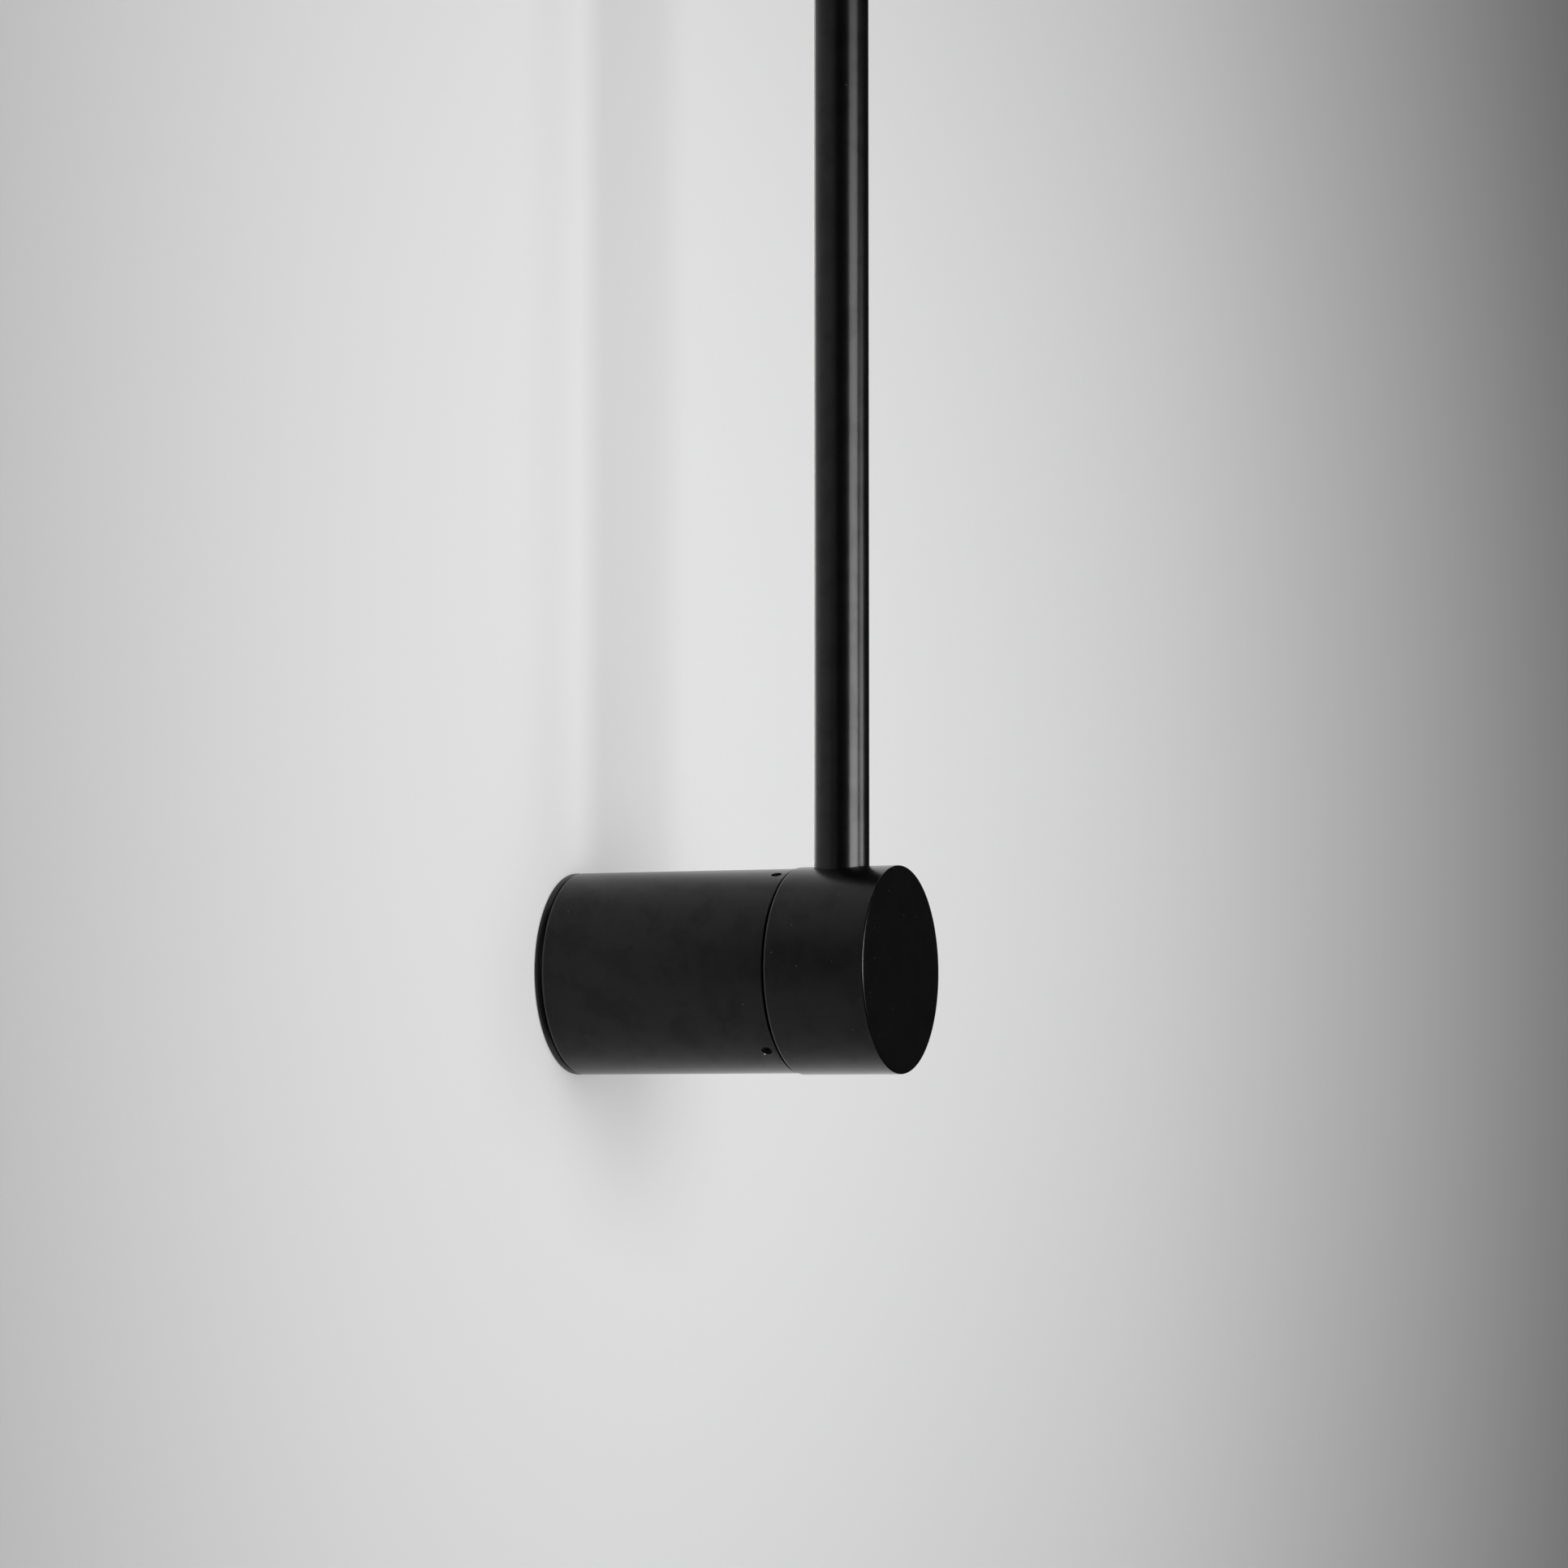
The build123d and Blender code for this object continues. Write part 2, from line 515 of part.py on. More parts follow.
with BuildPart() as driver_cover:
    with BuildSketch(at_depth(DRIVER_REAR)):
        with Locations((DRIVER_LEFT + COVER_T / 2, 0)):
            Rectangle(COVER_T, 2 * DRIVER_HALF_H)
    extrude(amount=DRIVER_FRONT - DRIVER_REAR)
    left_edges = driver_cover.edges().filter_by(Axis.Y).group_by(Axis.X)[0]
    fillet(left_edges, CASE_EDGE)

with BuildPart() as driver_screws:
    with BuildSketch(Plane.YZ.offset(DRIVER_RIGHT - DRIVER_SCREW_BITE)):
        with Locations(*[(-depth, 0) for depth in DRIVER_SCREW_DEPTHS]):
            Circle(M3_R - THREAD_PLAY)
    extrude(amount=DRIVER_SCREW_BITE + BRACKET_T)
    with BuildSketch(Plane.YZ.offset(DRIVER_RIGHT + BRACKET_T)):
        with Locations(*[(-depth, 0) for depth in DRIVER_SCREW_DEPTHS]):
            Circle(PAN_HEAD_R)
    extrude(amount=PAN_HEAD_T)

# ======================================================================================================
# Turning with the head
# ======================================================================================================

# ---- Disc spring, flat washer and lock nuts behind the bulkhead --------------------------------------
SPRING_T = 0.5
SPRING_H = 0.9
SPRING_REAR = REAR_WASHER - RUNNING_FACE - SPRING_H
with BuildPart() as disc_spring:
    with BuildSketch(Plane.XY):
        with BuildLine():
            Polyline(
                (WASHER_BORE_R, -(SPRING_REAR + SPRING_H)),
                (WASHER_BORE_R, -(SPRING_REAR + SPRING_H - SPRING_T)),
                (BULKHEAD_HUB_R, -SPRING_REAR),
                (BULKHEAD_HUB_R, -(SPRING_REAR + SPRING_T)),
                close=True,
            )
        make_face()
    revolve(axis=Axis.Y)

FLAT_WASHER_T = 0.8
FLAT_WASHER = SPRING_REAR - FLAT_WASHER_T
with BuildPart() as flat_washer:
    with BuildSketch(at_depth(FLAT_WASHER)):
        Circle(BULKHEAD_HUB_R)
        Circle(WASHER_BORE_R, mode=Mode.SUBTRACT)
    extrude(amount=FLAT_WASHER_T)

NUT_T = 3.0
NUT_HALF_WIDTH = 7.0
NUT_GAP = 0.1
with BuildPart() as lock_nuts:
    for nut_rear in (FLAT_WASHER - NUT_T, FLAT_WASHER - 2 * NUT_T - NUT_GAP):
        with BuildSketch(at_depth(nut_rear)):
            RegularPolygon(NUT_HALF_WIDTH, 6, major_radius=False)
            Circle(STEM_R + THREAD_PLAY, mode=Mode.SUBTRACT)
        extrude(amount=NUT_T)

# ---- Hollow stem that carries the lead through the swivel --------------------------------------------
STEM_PAST_NUTS, STEM_EDGE = 1.5, 0.6
STEM_REAR = FLAT_WASHER - 2 * NUT_T - STEM_PAST_NUTS
STEM_FRONT = HEAD_REAR + HEAD_BACK_T
with BuildPart() as swivel_stem:
    with BuildSketch(at_depth(STEM_REAR)):
        Circle(STEM_R)
        Circle(STEM_BORE_R, mode=Mode.SUBTRACT)
    extrude(amount=STEM_FRONT - STEM_REAR)
    bore_mouths = swivel_stem.edges().filter_by(GeomType.CIRCLE)
    bore_mouths = [edge for edge in bore_mouths if abs(edge.radius - STEM_BORE_R) < RADIUS_MATCH]
    chamfer(bore_mouths, STEM_EDGE)

# ---- Back disc of the head, with a land that clamps the tube -----------------------------------------
LAND_W, LAND_H = 14.0, SADDLE_HIGH - SADDLE_LOW - 3.0
LAND_FRONT = TUBE_DEPTH - (TUBE_R**2 - OPENING_HALF_W**2) ** 0.5 - SLIP
with BuildPart() as head_back:
    with BuildSketch(at_depth(HEAD_REAR)):
        Circle(HEAD_BORE_R - SLIP)
    extrude(amount=HEAD_BACK_T)
    with BuildSketch(at_depth(HEAD_REAR + HEAD_BACK_T)):
        with Locations((0, (SADDLE_LOW + SADDLE_HIGH) / 2)):
            Rectangle(LAND_W, LAND_H)
    extrude(amount=LAND_FRONT - HEAD_REAR - HEAD_BACK_T)
    with BuildSketch(at_depth(HEAD_REAR)):
        Circle(STEM_R + THREAD_PLAY)
        with Locations((0, STOP_R)):
            Circle(STOP_PIN_R)
    extrude(amount=HEAD_BACK_T, mode=Mode.SUBTRACT)
    with Locations(FROM_WALL_SIDE.offset(-HEAD_REAR)):
        with PolarLocations(HEAD_BOSS_PITCH_R, 3, start_angle=-HEAD_BOSS_ANGLE):
            CounterSinkHole(M3_CLEAR_R, M3_SINK_R, depth=HEAD_BACK_T, counter_sink_angle=SINK_ANGLE)

HEAD_SCREW_L = 11.5
with BuildPart() as head_back_screws:
    with Locations(at_depth(HEAD_REAR + SCREW_SINK)):
        with PolarLocations(**HEAD_BOSSES):
            Cone(SINK_RIM_R, M3_R, SINK_RIM_R - M3_R, align=STAND_ON_PLANE)
            Cylinder(M3_R - THREAD_PLAY, HEAD_SCREW_L, align=STAND_ON_PLANE)

# ---- Stop pin that runs in the bulkhead's groove -----------------------------------------------------
STOP_PIN_END = BULKHEAD_FRONT - STOP_GROOVE_DEPTH + 0.4
STOP_PIN_HEAD = STEM_FRONT - 0.5
with BuildPart() as stop_pin:
    with BuildSketch(at_depth(STOP_PIN_END)):
        with Locations((0, STOP_R)):
            Circle(STOP_PIN_R)
    extrude(amount=STOP_PIN_HEAD - STOP_PIN_END)

# ---- Head shell: cup with a cast-in saddle and three bosses ------------------------------------------
FACE_REAR = HEAD_FRONT - HEAD_FACE_T
TAP_L = 12.0
with BuildPart() as head_shell:
    with BuildSketch(at_depth(HEAD_REAR)):
        Circle(HEAD_R)
    extrude(amount=HEAD_LENGTH)
    chamfer(head_shell.edges().filter_by(GeomType.CIRCLE).sort_by(Axis.Y)[0], HEAD_EDGE)
    chamfer(head_shell.edges().filter_by(GeomType.CIRCLE).sort_by(Axis.Y)[-1], HEAD_REAR_EDGE)
    with BuildSketch(at_depth(HEAD_REAR)):
        Circle(HEAD_BORE_R)
    extrude(amount=HEAD_LENGTH - HEAD_FACE_T, mode=Mode.SUBTRACT)
    with BuildSketch(at_depth(HEAD_REAR + HEAD_BACK_T)):
        with PolarLocations(**HEAD_BOSSES):
            Circle(HEAD_BOSS_R)
    extrude(amount=FACE_REAR - HEAD_REAR - HEAD_BACK_T)
    with BuildSketch(at_depth(SADDLE_REAR)):
        with Locations((0, (SADDLE_LOW + SADDLE_HIGH) / 2)):
            Rectangle(2 * SADDLE_HALF_W, SADDLE_HIGH - SADDLE_LOW)
    extrude(amount=FACE_REAR - SADDLE_REAR)
    with BuildSketch(at_depth(HEAD_REAR + HEAD_BACK_T)):
        with PolarLocations(**HEAD_BOSSES):
            Circle(M3_R)
    extrude(amount=TAP_L, mode=Mode.SUBTRACT)
    with BuildSketch(at_height(TUBE_BOTTOM - CUT_PAST / 2)):
        Circle(TUBE_HOLE_R)
    extrude(amount=HEAD_R, mode=Mode.SUBTRACT)
    with BuildSketch(at_depth(SADDLE_REAR)):
        with Locations(*[(0, height) for height in TUBE_SCREW_HEIGHTS]):
            Circle(M3_R)
    extrude(amount=TAP_L, mode=Mode.SUBTRACT)

# ---- Light tube: round extrusion with a web for the board and a slot that faces the wall -------------
with BuildPart() as light_tube:
    with BuildSketch(at_height(TUBE_BOTTOM)):
        Circle(TUBE_R)
        Circle(TUBE_R - TUBE_WALL, mode=Mode.SUBTRACT)
        with Locations((0, -WEB_T / 2)):
            Rectangle(WEB_W, WEB_T)
        for side in (-1, 1):
            with Locations((side * ((BOARD_W + RAIL_W) / 2 + RAIL_PLAY), BOARD_T / 2)):
                Rectangle(RAIL_W, BOARD_T)
        with Locations((0, TUBE_R)):
            Rectangle(2 * OPENING_HALF_W, TUBE_R, mode=Mode.SUBTRACT)
    extrude(amount=TUBE_TOP - CAP_T - TUBE_BOTTOM)
    with BuildSketch(at_depth(TUBE_DEPTH - CUT_PAST)):
        with Locations(*[(0, height) for height in TUBE_SCREW_HEIGHTS]):
            Circle(M3_R + SLIP)
    extrude(amount=TUBE_R + 2 * CUT_PAST, mode=Mode.SUBTRACT)

# ---- Screws through the tube's web into the saddle ---------------------------------------------------
TUBE_SCREW_L = 12.5
with BuildPart() as tube_screws:
    with BuildSketch(at_depth(TUBE_DEPTH)):
        with Locations(*[(0, height) for height in TUBE_SCREW_HEIGHTS]):
            Circle(M3_R - THREAD_PLAY)
    extrude(amount=TUBE_SCREW_L)
    with BuildSketch(at_depth(TUBE_DEPTH - PAN_HEAD_T)):
        with Locations(*[(0, height) for height in TUBE_SCREW_HEIGHTS]):
            Circle(PAN_HEAD_R)
    extrude(amount=PAN_HEAD_T)

# ---- Opal cover: domed strip whose legs snap behind the tube's lips ----------------------------------
LEG_OUTER = OPENING_HALF_W - 0.1
LEG_INNER = LEG_OUTER - 0.9
LEG_END, LEG_ROOT = 3.2, 6.0  # from the tube's axis towards the wall
DOME_EDGE = 5.0
BARB_TOP = 4.0
BARB_OUT = OPENING_HALF_W + 0.4
with BuildPart() as diffuser:
    with BuildSketch(at_height(DIFFUSER_BOTTOM)):
        Circle(DIFFUSER_R)
        Circle(DIFFUSER_R - DIFFUSER_T, mode=Mode.SUBTRACT)
        with Locations((0, TUBE_R)):
            Rectangle(2 * LEG_OUTER, 2 * (TUBE_R - DOME_EDGE), mode=Mode.INTERSECT)
        for side in (-1, 1):
            with Locations((side * (LEG_OUTER + LEG_INNER) / 2, (LEG_END + LEG_ROOT) / 2)):
                Rectangle(LEG_OUTER - LEG_INNER, LEG_ROOT - LEG_END)
            with Locations((side * (BARB_OUT + LEG_INNER) / 2, (LEG_END + BARB_TOP) / 2)):
                Rectangle(BARB_OUT - LEG_INNER, BARB_TOP - LEG_END)
    extrude(amount=TUBE_TOP - CAP_T - DIFFUSER_BOTTOM)

# ---- LED board and its chips -------------------------------------------------------------------------
with BuildPart() as led_board:
    with BuildSketch(at_height(BOARD_LOW)):
        with Locations((0, BOARD_T / 2)):
            Rectangle(BOARD_W, BOARD_T)
    extrude(amount=BOARD_HIGH - BOARD_LOW)

CHIP_COUNT = int((BOARD_HIGH - BOARD_LOW - 2 * CHIP_Z) // CHIP_PITCH)
CHIP_FACE_DEPTH = TUBE_DEPTH - BOARD_T - CHIP_Y
with BuildPart() as led_chips:
    with BuildSketch(at_depth(CHIP_FACE_DEPTH)):
        with Locations((0, (BOARD_LOW + BOARD_HIGH) / 2)):
            with GridLocations(0, CHIP_PITCH, 1, CHIP_COUNT):
                Rectangle(CHIP_X, CHIP_Z)
    extrude(amount=CHIP_Y)

# ---- Cap on the top of the tube: a disc with the tube's outline and a D-shaped plug ------------------
CAP_EDGE = 0.3
CAP_PLUG_L = 6.0
with BuildPart() as tube_end_cap:
    with BuildSketch(at_height(TUBE_TOP - CAP_T)):
        Circle(DIFFUSER_R)
        with Locations((0, TUBE_R)):
            Rectangle(2 * LEG_OUTER, TUBE_R, mode=Mode.INTERSECT)
        Circle(TUBE_R)
    extrude(amount=CAP_T)
    chamfer(tube_end_cap.edges().group_by(Axis.Z)[-1], CAP_EDGE)
    with BuildSketch(at_height(TUBE_TOP - CAP_T)):
        Circle(TUBE_R - TUBE_WALL - SLIP)
        with Locations((0, TUBE_R - WEB_T - SLIP)):
            Rectangle(2 * TUBE_R, 2 * TUBE_R, mode=Mode.SUBTRACT)
    extrude(amount=-CAP_PLUG_L)

# ---- Output lead: from the driver, through the stem, up into the tube --------------------------------
LEAD_BEND = 8.5
LEAD_START = DRIVER_FRONT + 1
LEAD_UP_DEPTH = TUBE_DEPTH - 4.2
LEAD_END = 28.0
with BuildPart() as output_lead:
    with BuildLine():
        FilletPolyline(
            (0, -LEAD_START, 0),
            (0, -LEAD_UP_DEPTH, 0),
            (0, -LEAD_UP_DEPTH, LEAD_END),
            radius=LEAD_BEND,
        )
    with BuildSketch(at_depth(LEAD_START)):
        Circle(LEAD_R)
    sweep()

# ---- Two cores from the end of the lead to the board's solder pads -----------------------------------
PAD_X = 1.9
PAD_REACH = 3.5  # from the board's lower end
WIRE_R = 0.5
WIRE_SIDE = 0.75
WIRE_LOW = LEAD_END + 0.3
with BuildPart() as strip_wires:
    for side in (-1, 1):
        with BuildLine() as wire_route:
            Line(
                (side * WIRE_SIDE, -LEAD_UP_DEPTH, WIRE_LOW),
                (side * PAD_X, -(TUBE_DEPTH - BOARD_T - WIRE_R), BOARD_LOW + PAD_REACH),
            )
        with BuildSketch(Plane(origin=wire_route.line @ 0, z_dir=wire_route.line % 0)):
            Circle(WIRE_R)
        sweep()

# ======================================================================================================
# Files
# ======================================================================================================
PIECES = {
    "wall_plate": wall_plate,
    "plate_screws": plate_screws,
    "cable_grommet": cable_grommet,
    "base_housing": base_housing,
    "grub_screws": grub_screws,
    "swivel_bulkhead": swivel_bulkhead,
    "front_thrust_washer": front_thrust_washer,
    "rear_thrust_washer": rear_thrust_washer,
    "terminal_block": terminal_block,
    "terminal_block_screw": terminal_block_screw,
    "terminal_screws": terminal_screws,
    "live_lead": live_lead,
    "neutral_lead": neutral_lead,
    "earth_lead": earth_lead,
    "earth_lug": earth_lug,
    "driver_bracket": driver_bracket,
    "bracket_screws": bracket_screws,
    "driver_case": driver_case,
    "driver_cover": driver_cover,
    "driver_screws": driver_screws,
    "disc_spring": disc_spring,
    "flat_washer": flat_washer,
    "lock_nuts": lock_nuts,
    "swivel_stem": swivel_stem,
    "head_back": head_back,
    "head_back_screws": head_back_screws,
    "stop_pin": stop_pin,
    "head_shell": head_shell,
    "light_tube": light_tube,
    "tube_screws": tube_screws,
    "diffuser": diffuser,
    "led_board": led_board,
    "led_chips": led_chips,
    "tube_end_cap": tube_end_cap,
    "output_lead": output_lead,
    "strip_wires": strip_wires,
}

os.makedirs("parts", exist_ok=True)
for name, piece in PIECES.items():
    piece.part.label = name
    export_step(piece.part, f"parts/{name}.step")
    print(name, "solids", len(piece.part.solids()), "volume", round(piece.part.volume, 1))
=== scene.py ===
# %% [markdown]
# # Tube wall light
#
# A satin black wall light: a thin plate on the wall, a round base drum, a head that turns on the front of
# the drum, and a slim tube that stands in the head. The imported CAD model is the frame that every piece is
# built around, so it is loaded first. The box of each of its nodes is set against the piece that replaces
# it.

# %% Load the imported model
import json
import math

import bpy
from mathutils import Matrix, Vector


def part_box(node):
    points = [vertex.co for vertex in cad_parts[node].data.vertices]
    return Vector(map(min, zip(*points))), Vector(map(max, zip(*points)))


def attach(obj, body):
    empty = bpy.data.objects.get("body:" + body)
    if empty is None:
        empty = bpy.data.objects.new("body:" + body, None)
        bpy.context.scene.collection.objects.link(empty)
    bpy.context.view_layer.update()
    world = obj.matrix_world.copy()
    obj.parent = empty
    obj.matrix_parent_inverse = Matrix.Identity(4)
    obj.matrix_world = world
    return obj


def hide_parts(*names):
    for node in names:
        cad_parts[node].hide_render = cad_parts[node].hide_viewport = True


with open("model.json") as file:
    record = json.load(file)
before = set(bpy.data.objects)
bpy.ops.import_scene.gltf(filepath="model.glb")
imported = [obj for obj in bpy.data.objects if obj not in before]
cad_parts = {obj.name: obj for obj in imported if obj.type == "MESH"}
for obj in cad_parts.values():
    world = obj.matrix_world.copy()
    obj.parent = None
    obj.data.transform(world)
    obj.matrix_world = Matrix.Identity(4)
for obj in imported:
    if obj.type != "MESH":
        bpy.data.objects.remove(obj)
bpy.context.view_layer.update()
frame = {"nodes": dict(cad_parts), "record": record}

# %% [markdown]
# Sizes are thought of in millimetres, as in the workshop drawing, and Blender works in metres. Depth means
# the distance from the wall. The wall is the plane y = 0 and the room is on its -Y side, so a depth of 72 mm
# is y = -0.072.

# %% Units and small helpers
MM = 0.001


def at(x, depth, z):
    """A point in Blender's metres from x, depth and height in millimetres."""
    return (x * MM, -depth * MM, z * MM)


def around(angle, radius, depth):
    """A point on a circle round the swivel axis; the angle runs from +X towards +Z."""
    a = math.radians(angle)
    return at(radius * math.cos(a), depth, radius * math.sin(a))


def only(piece):
    """Makes one object the only one that is selected, and the active one."""
    bpy.ops.object.select_all(action="DESELECT")
    piece.select_set(True)
    bpy.context.view_layer.objects.active = piece


def newest(name):
    """Names the object that an operator has just added, and puts its place into its mesh."""
    piece = bpy.context.active_object
    piece.name = piece.data.name = name
    bpy.ops.object.transform_apply(location=True, rotation=True, scale=True)
    return piece


# %% [markdown]
# The camera comes first, so that every later step can be judged in the frame of the photograph. It stands on
# the left, about a metre and a half away, a little lower than the tube, and looks slightly up along the
# wall. A long lens keeps the drum's two ends nearly the same size. Place, direction and lens come from
# fitting a perspective camera to the outlines of plate, drum, head and tube.

# %% Camera
CAMERA_PLACE = (-1.35171, -0.63268, -0.04743)
CAMERA_HEADING = -67.282  # degrees round Z, from a view along +Y
CAMERA_PITCH = 4.002  # degrees upwards
LENS = 114.58

bpy.ops.object.select_all(action="DESELECT")
bpy.ops.object.camera_add(
    location=CAMERA_PLACE,
    rotation=(math.radians(90 + CAMERA_PITCH), 0, math.radians(CAMERA_HEADING)),
)
camera = bpy.context.active_object
camera.name = "photo_camera"
camera.data.lens = LENS
camera.data.clip_start, camera.data.clip_end = 0.05, 50
bpy.context.scene.camera = camera
print("camera", [round(c, 3) for c in camera.location], "lens", LENS)

# %% [markdown]
# Every material is a small tree of nodes. One function adds a node, sets its values and links its inputs, so
# that a tree reads from top to bottom like a list of what the surface is made of, and ends with its output.
# Colours are written as the sRGB values that a painter would read off a colour card, and one function turns
# them to the linear values that light is added up in.

# %% Colours and nodes
FIRST, SECOND, MIXED = 6, 7, 2  # a Mix node's two colour inputs and its colour output, by number


def linear(code):
    """Linear RGBA of an sRGB hex colour."""
    parts = [int(code[i:i + 2], 16) / 255 for i in (1, 3, 5)]
    return tuple(c / 12.92 if c <= 0.04045 else ((c + 0.055) / 1.055) ** 2.4 for c in parts) + (1.0,)


def add_node(tree, kind, inputs=None, **settings):
    """Adds a node. Settings are its own properties; inputs are values or sockets to link from."""
    node = tree.nodes.new(kind)
    for name, value in settings.items():
        setattr(node, name, value)
    for name, value in (inputs or {}).items():
        if isinstance(value, bpy.types.NodeSocket):
            tree.links.new(value, node.inputs[name])
        else:
            node.inputs[name].default_value = value
    return node


def new_material(name):
    """A material with an empty node tree."""
    material = bpy.data.materials.new(name)
    material.use_nodes = True
    material.node_tree.nodes.clear()
    return material, material.node_tree


# %% [markdown]
# The wall is a flat painted wall, so a disc is enough. It has a round hole behind the wall plate, as over a
# back box, so that the screws at the back of the plate can be seen from behind. It could be a plane with a
# boolean hole; a circle whose edge is extruded outwards gives the same with one operator. From behind, the
# wall is left out, and it holds no light back from the parts that face it.

# %% Wall
WALL_HOLE = 29.5
WALL_RADIUS = 3000
WALL_BEHIND = 0.2  # clear of the plate, so that the two don't flicker


def grow_ring(factor, shift=(0, 0, 0), centre=(0, 0, 0)):
    """Extrudes the selected ring of edges, moves it and scales it across the swivel axis."""
    bpy.ops.mesh.extrude_region_move(TRANSFORM_OT_translate={"value": shift})
    if factor != 1:
        bpy.ops.transform.resize(value=(factor, 1, factor), center_override=centre)


wall_middle = at(0, -WALL_BEHIND, 0)
bpy.ops.mesh.primitive_circle_add(vertices=192, radius=WALL_HOLE * MM, location=wall_middle,
                                  rotation=(math.pi / 2, 0, 0))
wall = newest("wall")
bpy.ops.object.mode_set(mode="EDIT")
bpy.ops.mesh.select_all(action="SELECT")
grow_ring(WALL_RADIUS / WALL_HOLE, centre=wall_middle)
bpy.ops.object.mode_set(mode="OBJECT")
if wall.data.polygons[0].normal.y > 0:
    wall.data.flip_normals()  # its painted side faces the room
wall.visible_diffuse = False
wall.visible_shadow = False
print("wall", len(wall.data.polygons), "faces, normal", [round(c, 2) for c in wall.data.polygons[0].normal])

# %% [markdown]
# The wall's paint is a matt pale grey. It is brightest beside the lamp and falls off to both sides of the
# frame, most of all to the right, where the wall runs away from the softboxes. Part of that comes from the
# lamps. The rest is painted light falloff in the paint's colour: one smooth ramp of tones along x, times
# one over the distance from the brightest height.

# %% Painted light falloff on the wall
# painted light falloff: the tones darken away from the lamp along x, and away from the brightest height
WALL_FALLOFF_TONES = [(-0.45, "#9b9b9b"), (-0.30, "#bbbbbb"), (-0.15, "#d2d2d2"), (0.00, "#dddddd"),
              (0.15, "#e0e0e0"), (0.30, "#dfdfdf"), (0.45, "#dedede"), (0.60, "#d7d7d7"), (0.75, "#cbcbcb"),
              (0.90, "#bfbfbf"), (1.05, "#afafaf"), (1.20, "#9d9d9d"), (1.35, "#8c8c8c")]  # metres along x
WALL_SPAN = (-0.6, 1.5)
BRIGHT_HEIGHT = 0.1  # metres
HEIGHT_FALLOFF_TONES = [(0.0, "#ffffff"), (0.15, "#fdfdfd"), (0.30, "#f3f3f3"), (0.45, "#e6e6e6"), (0.60, "#e1e1e1"),
                (0.75, "#dddddd")]
HEIGHT_SPAN = (0, 1.5)


def tone_ramp(tree, value, stops, span):
    """A smooth ramp of tones along a value; stops are (value, colour) within the span."""
    low, high = span
    share = add_node(tree, "ShaderNodeMapRange", {"Value": value, "From Min": low, "From Max": high})
    node = add_node(tree, "ShaderNodeValToRGB", {"Fac": share.outputs["Result"]})
    node.color_ramp.interpolation = "B_SPLINE"
    while len(node.color_ramp.elements) < len(stops):
        node.color_ramp.elements.new(0.5)
    for stop, (place, tone) in zip(node.color_ramp.elements, stops):
        stop.position, stop.color = (place - low) / (high - low), linear(tone)
    return node.outputs["Color"]


def painted_wall_falloff(tree, place):
    """The paint's tone at a place, with the lamps' falloff painted into it."""
    parts = add_node(tree, "ShaderNodeSeparateXYZ", {"Vector": place})
    off = add_node(tree, "ShaderNodeMath", {0: parts.outputs["Z"], 1: BRIGHT_HEIGHT}, operation="SUBTRACT")
    distance = add_node(tree, "ShaderNodeMath", {0: off.outputs[0]}, operation="ABSOLUTE")
    tones = add_node(tree, "ShaderNodeMix", {
        "Factor": 1.0, FIRST: tone_ramp(tree, parts.outputs["X"], WALL_FALLOFF_TONES, WALL_SPAN),
        SECOND: tone_ramp(tree, distance.outputs[0], HEIGHT_FALLOFF_TONES, HEIGHT_SPAN)},
        data_type="RGBA", blend_type="MULTIPLY")
    return tones.outputs[MIXED]


print("tones", len(WALL_FALLOFF_TONES), "along the wall,", len(HEIGHT_FALLOFF_TONES), "up it")

# %% [markdown]
# The black coat mirrors the wall, and a painted reflection makes it mirror a darker wall to the left of
# the light than the camera sees, and a brighter one to the right. So reflections get a share of the tone:
# less in a round place on the left, more on the right. For the camera the share is 1.

# %% Painted reflection: what reflections see of the wall
# painted reflection: darker round this place and brighter beyond RISE_REACH, for reflections only
DIM_PLACE, DIM_REACH, DIM_SHARE = (-0.265, 0.0, 0.05), (0.03, 0.19), 0.5  # metres; the middle's share
RISE_REACH, RISE_SHARE = (0.03, 0.20), 1.4  # metres along x; the share beyond them
FIRST_NUMBER, SECOND_NUMBER = 2, 3  # the inputs of a Mix node that mixes numbers


def painted_reflection_share(tree, place):
    """The share of the wall's light that a ray sees; for reflections it is a painted reflection."""
    x = add_node(tree, "ShaderNodeSeparateXYZ", {"Vector": place}).outputs["X"]
    distance = add_node(tree, "ShaderNodeVectorMath", {0: place, 1: DIM_PLACE}, operation="DISTANCE")
    dimmed = add_node(tree, "ShaderNodeMapRange", {
        "Value": distance.outputs["Value"], "From Min": DIM_REACH[0], "From Max": DIM_REACH[1],
        "To Min": DIM_SHARE, "To Max": 1.0}, interpolation_type="SMOOTHSTEP")
    raised = add_node(tree, "ShaderNodeMapRange", {
        "Value": x, "From Min": RISE_REACH[0], "From Max": RISE_REACH[1], "To Min": 1.0,
        "To Max": RISE_SHARE}, interpolation_type="SMOOTHSTEP")
    both = add_node(tree, "ShaderNodeMath", {0: dimmed.outputs["Result"], 1: raised.outputs["Result"]},
                    operation="MULTIPLY")
    path = add_node(tree, "ShaderNodeLightPath")
    share = add_node(tree, "ShaderNodeMix", {
        "Factor": path.outputs["Is Camera Ray"], FIRST_NUMBER: both.outputs[0], SECOND_NUMBER: 1.0})
    return share.outputs[0]


print("dimmed round", DIM_PLACE, "and raised beyond", RISE_REACH[1])

# %% [markdown]
# The paint is a rough shader with a faint roller grain, so that it doesn't look empty. A weak glow in the
# same tones is added to it, because the lamps are set for the object and would leave the wall too dark. The
# side that faces away from the room is see-through.

# %% Wall paint
WALL_GLOW = 0.28
ROLLER_GRAIN, ROLLER_HEIGHT = 0.9, 0.2  # millimetres

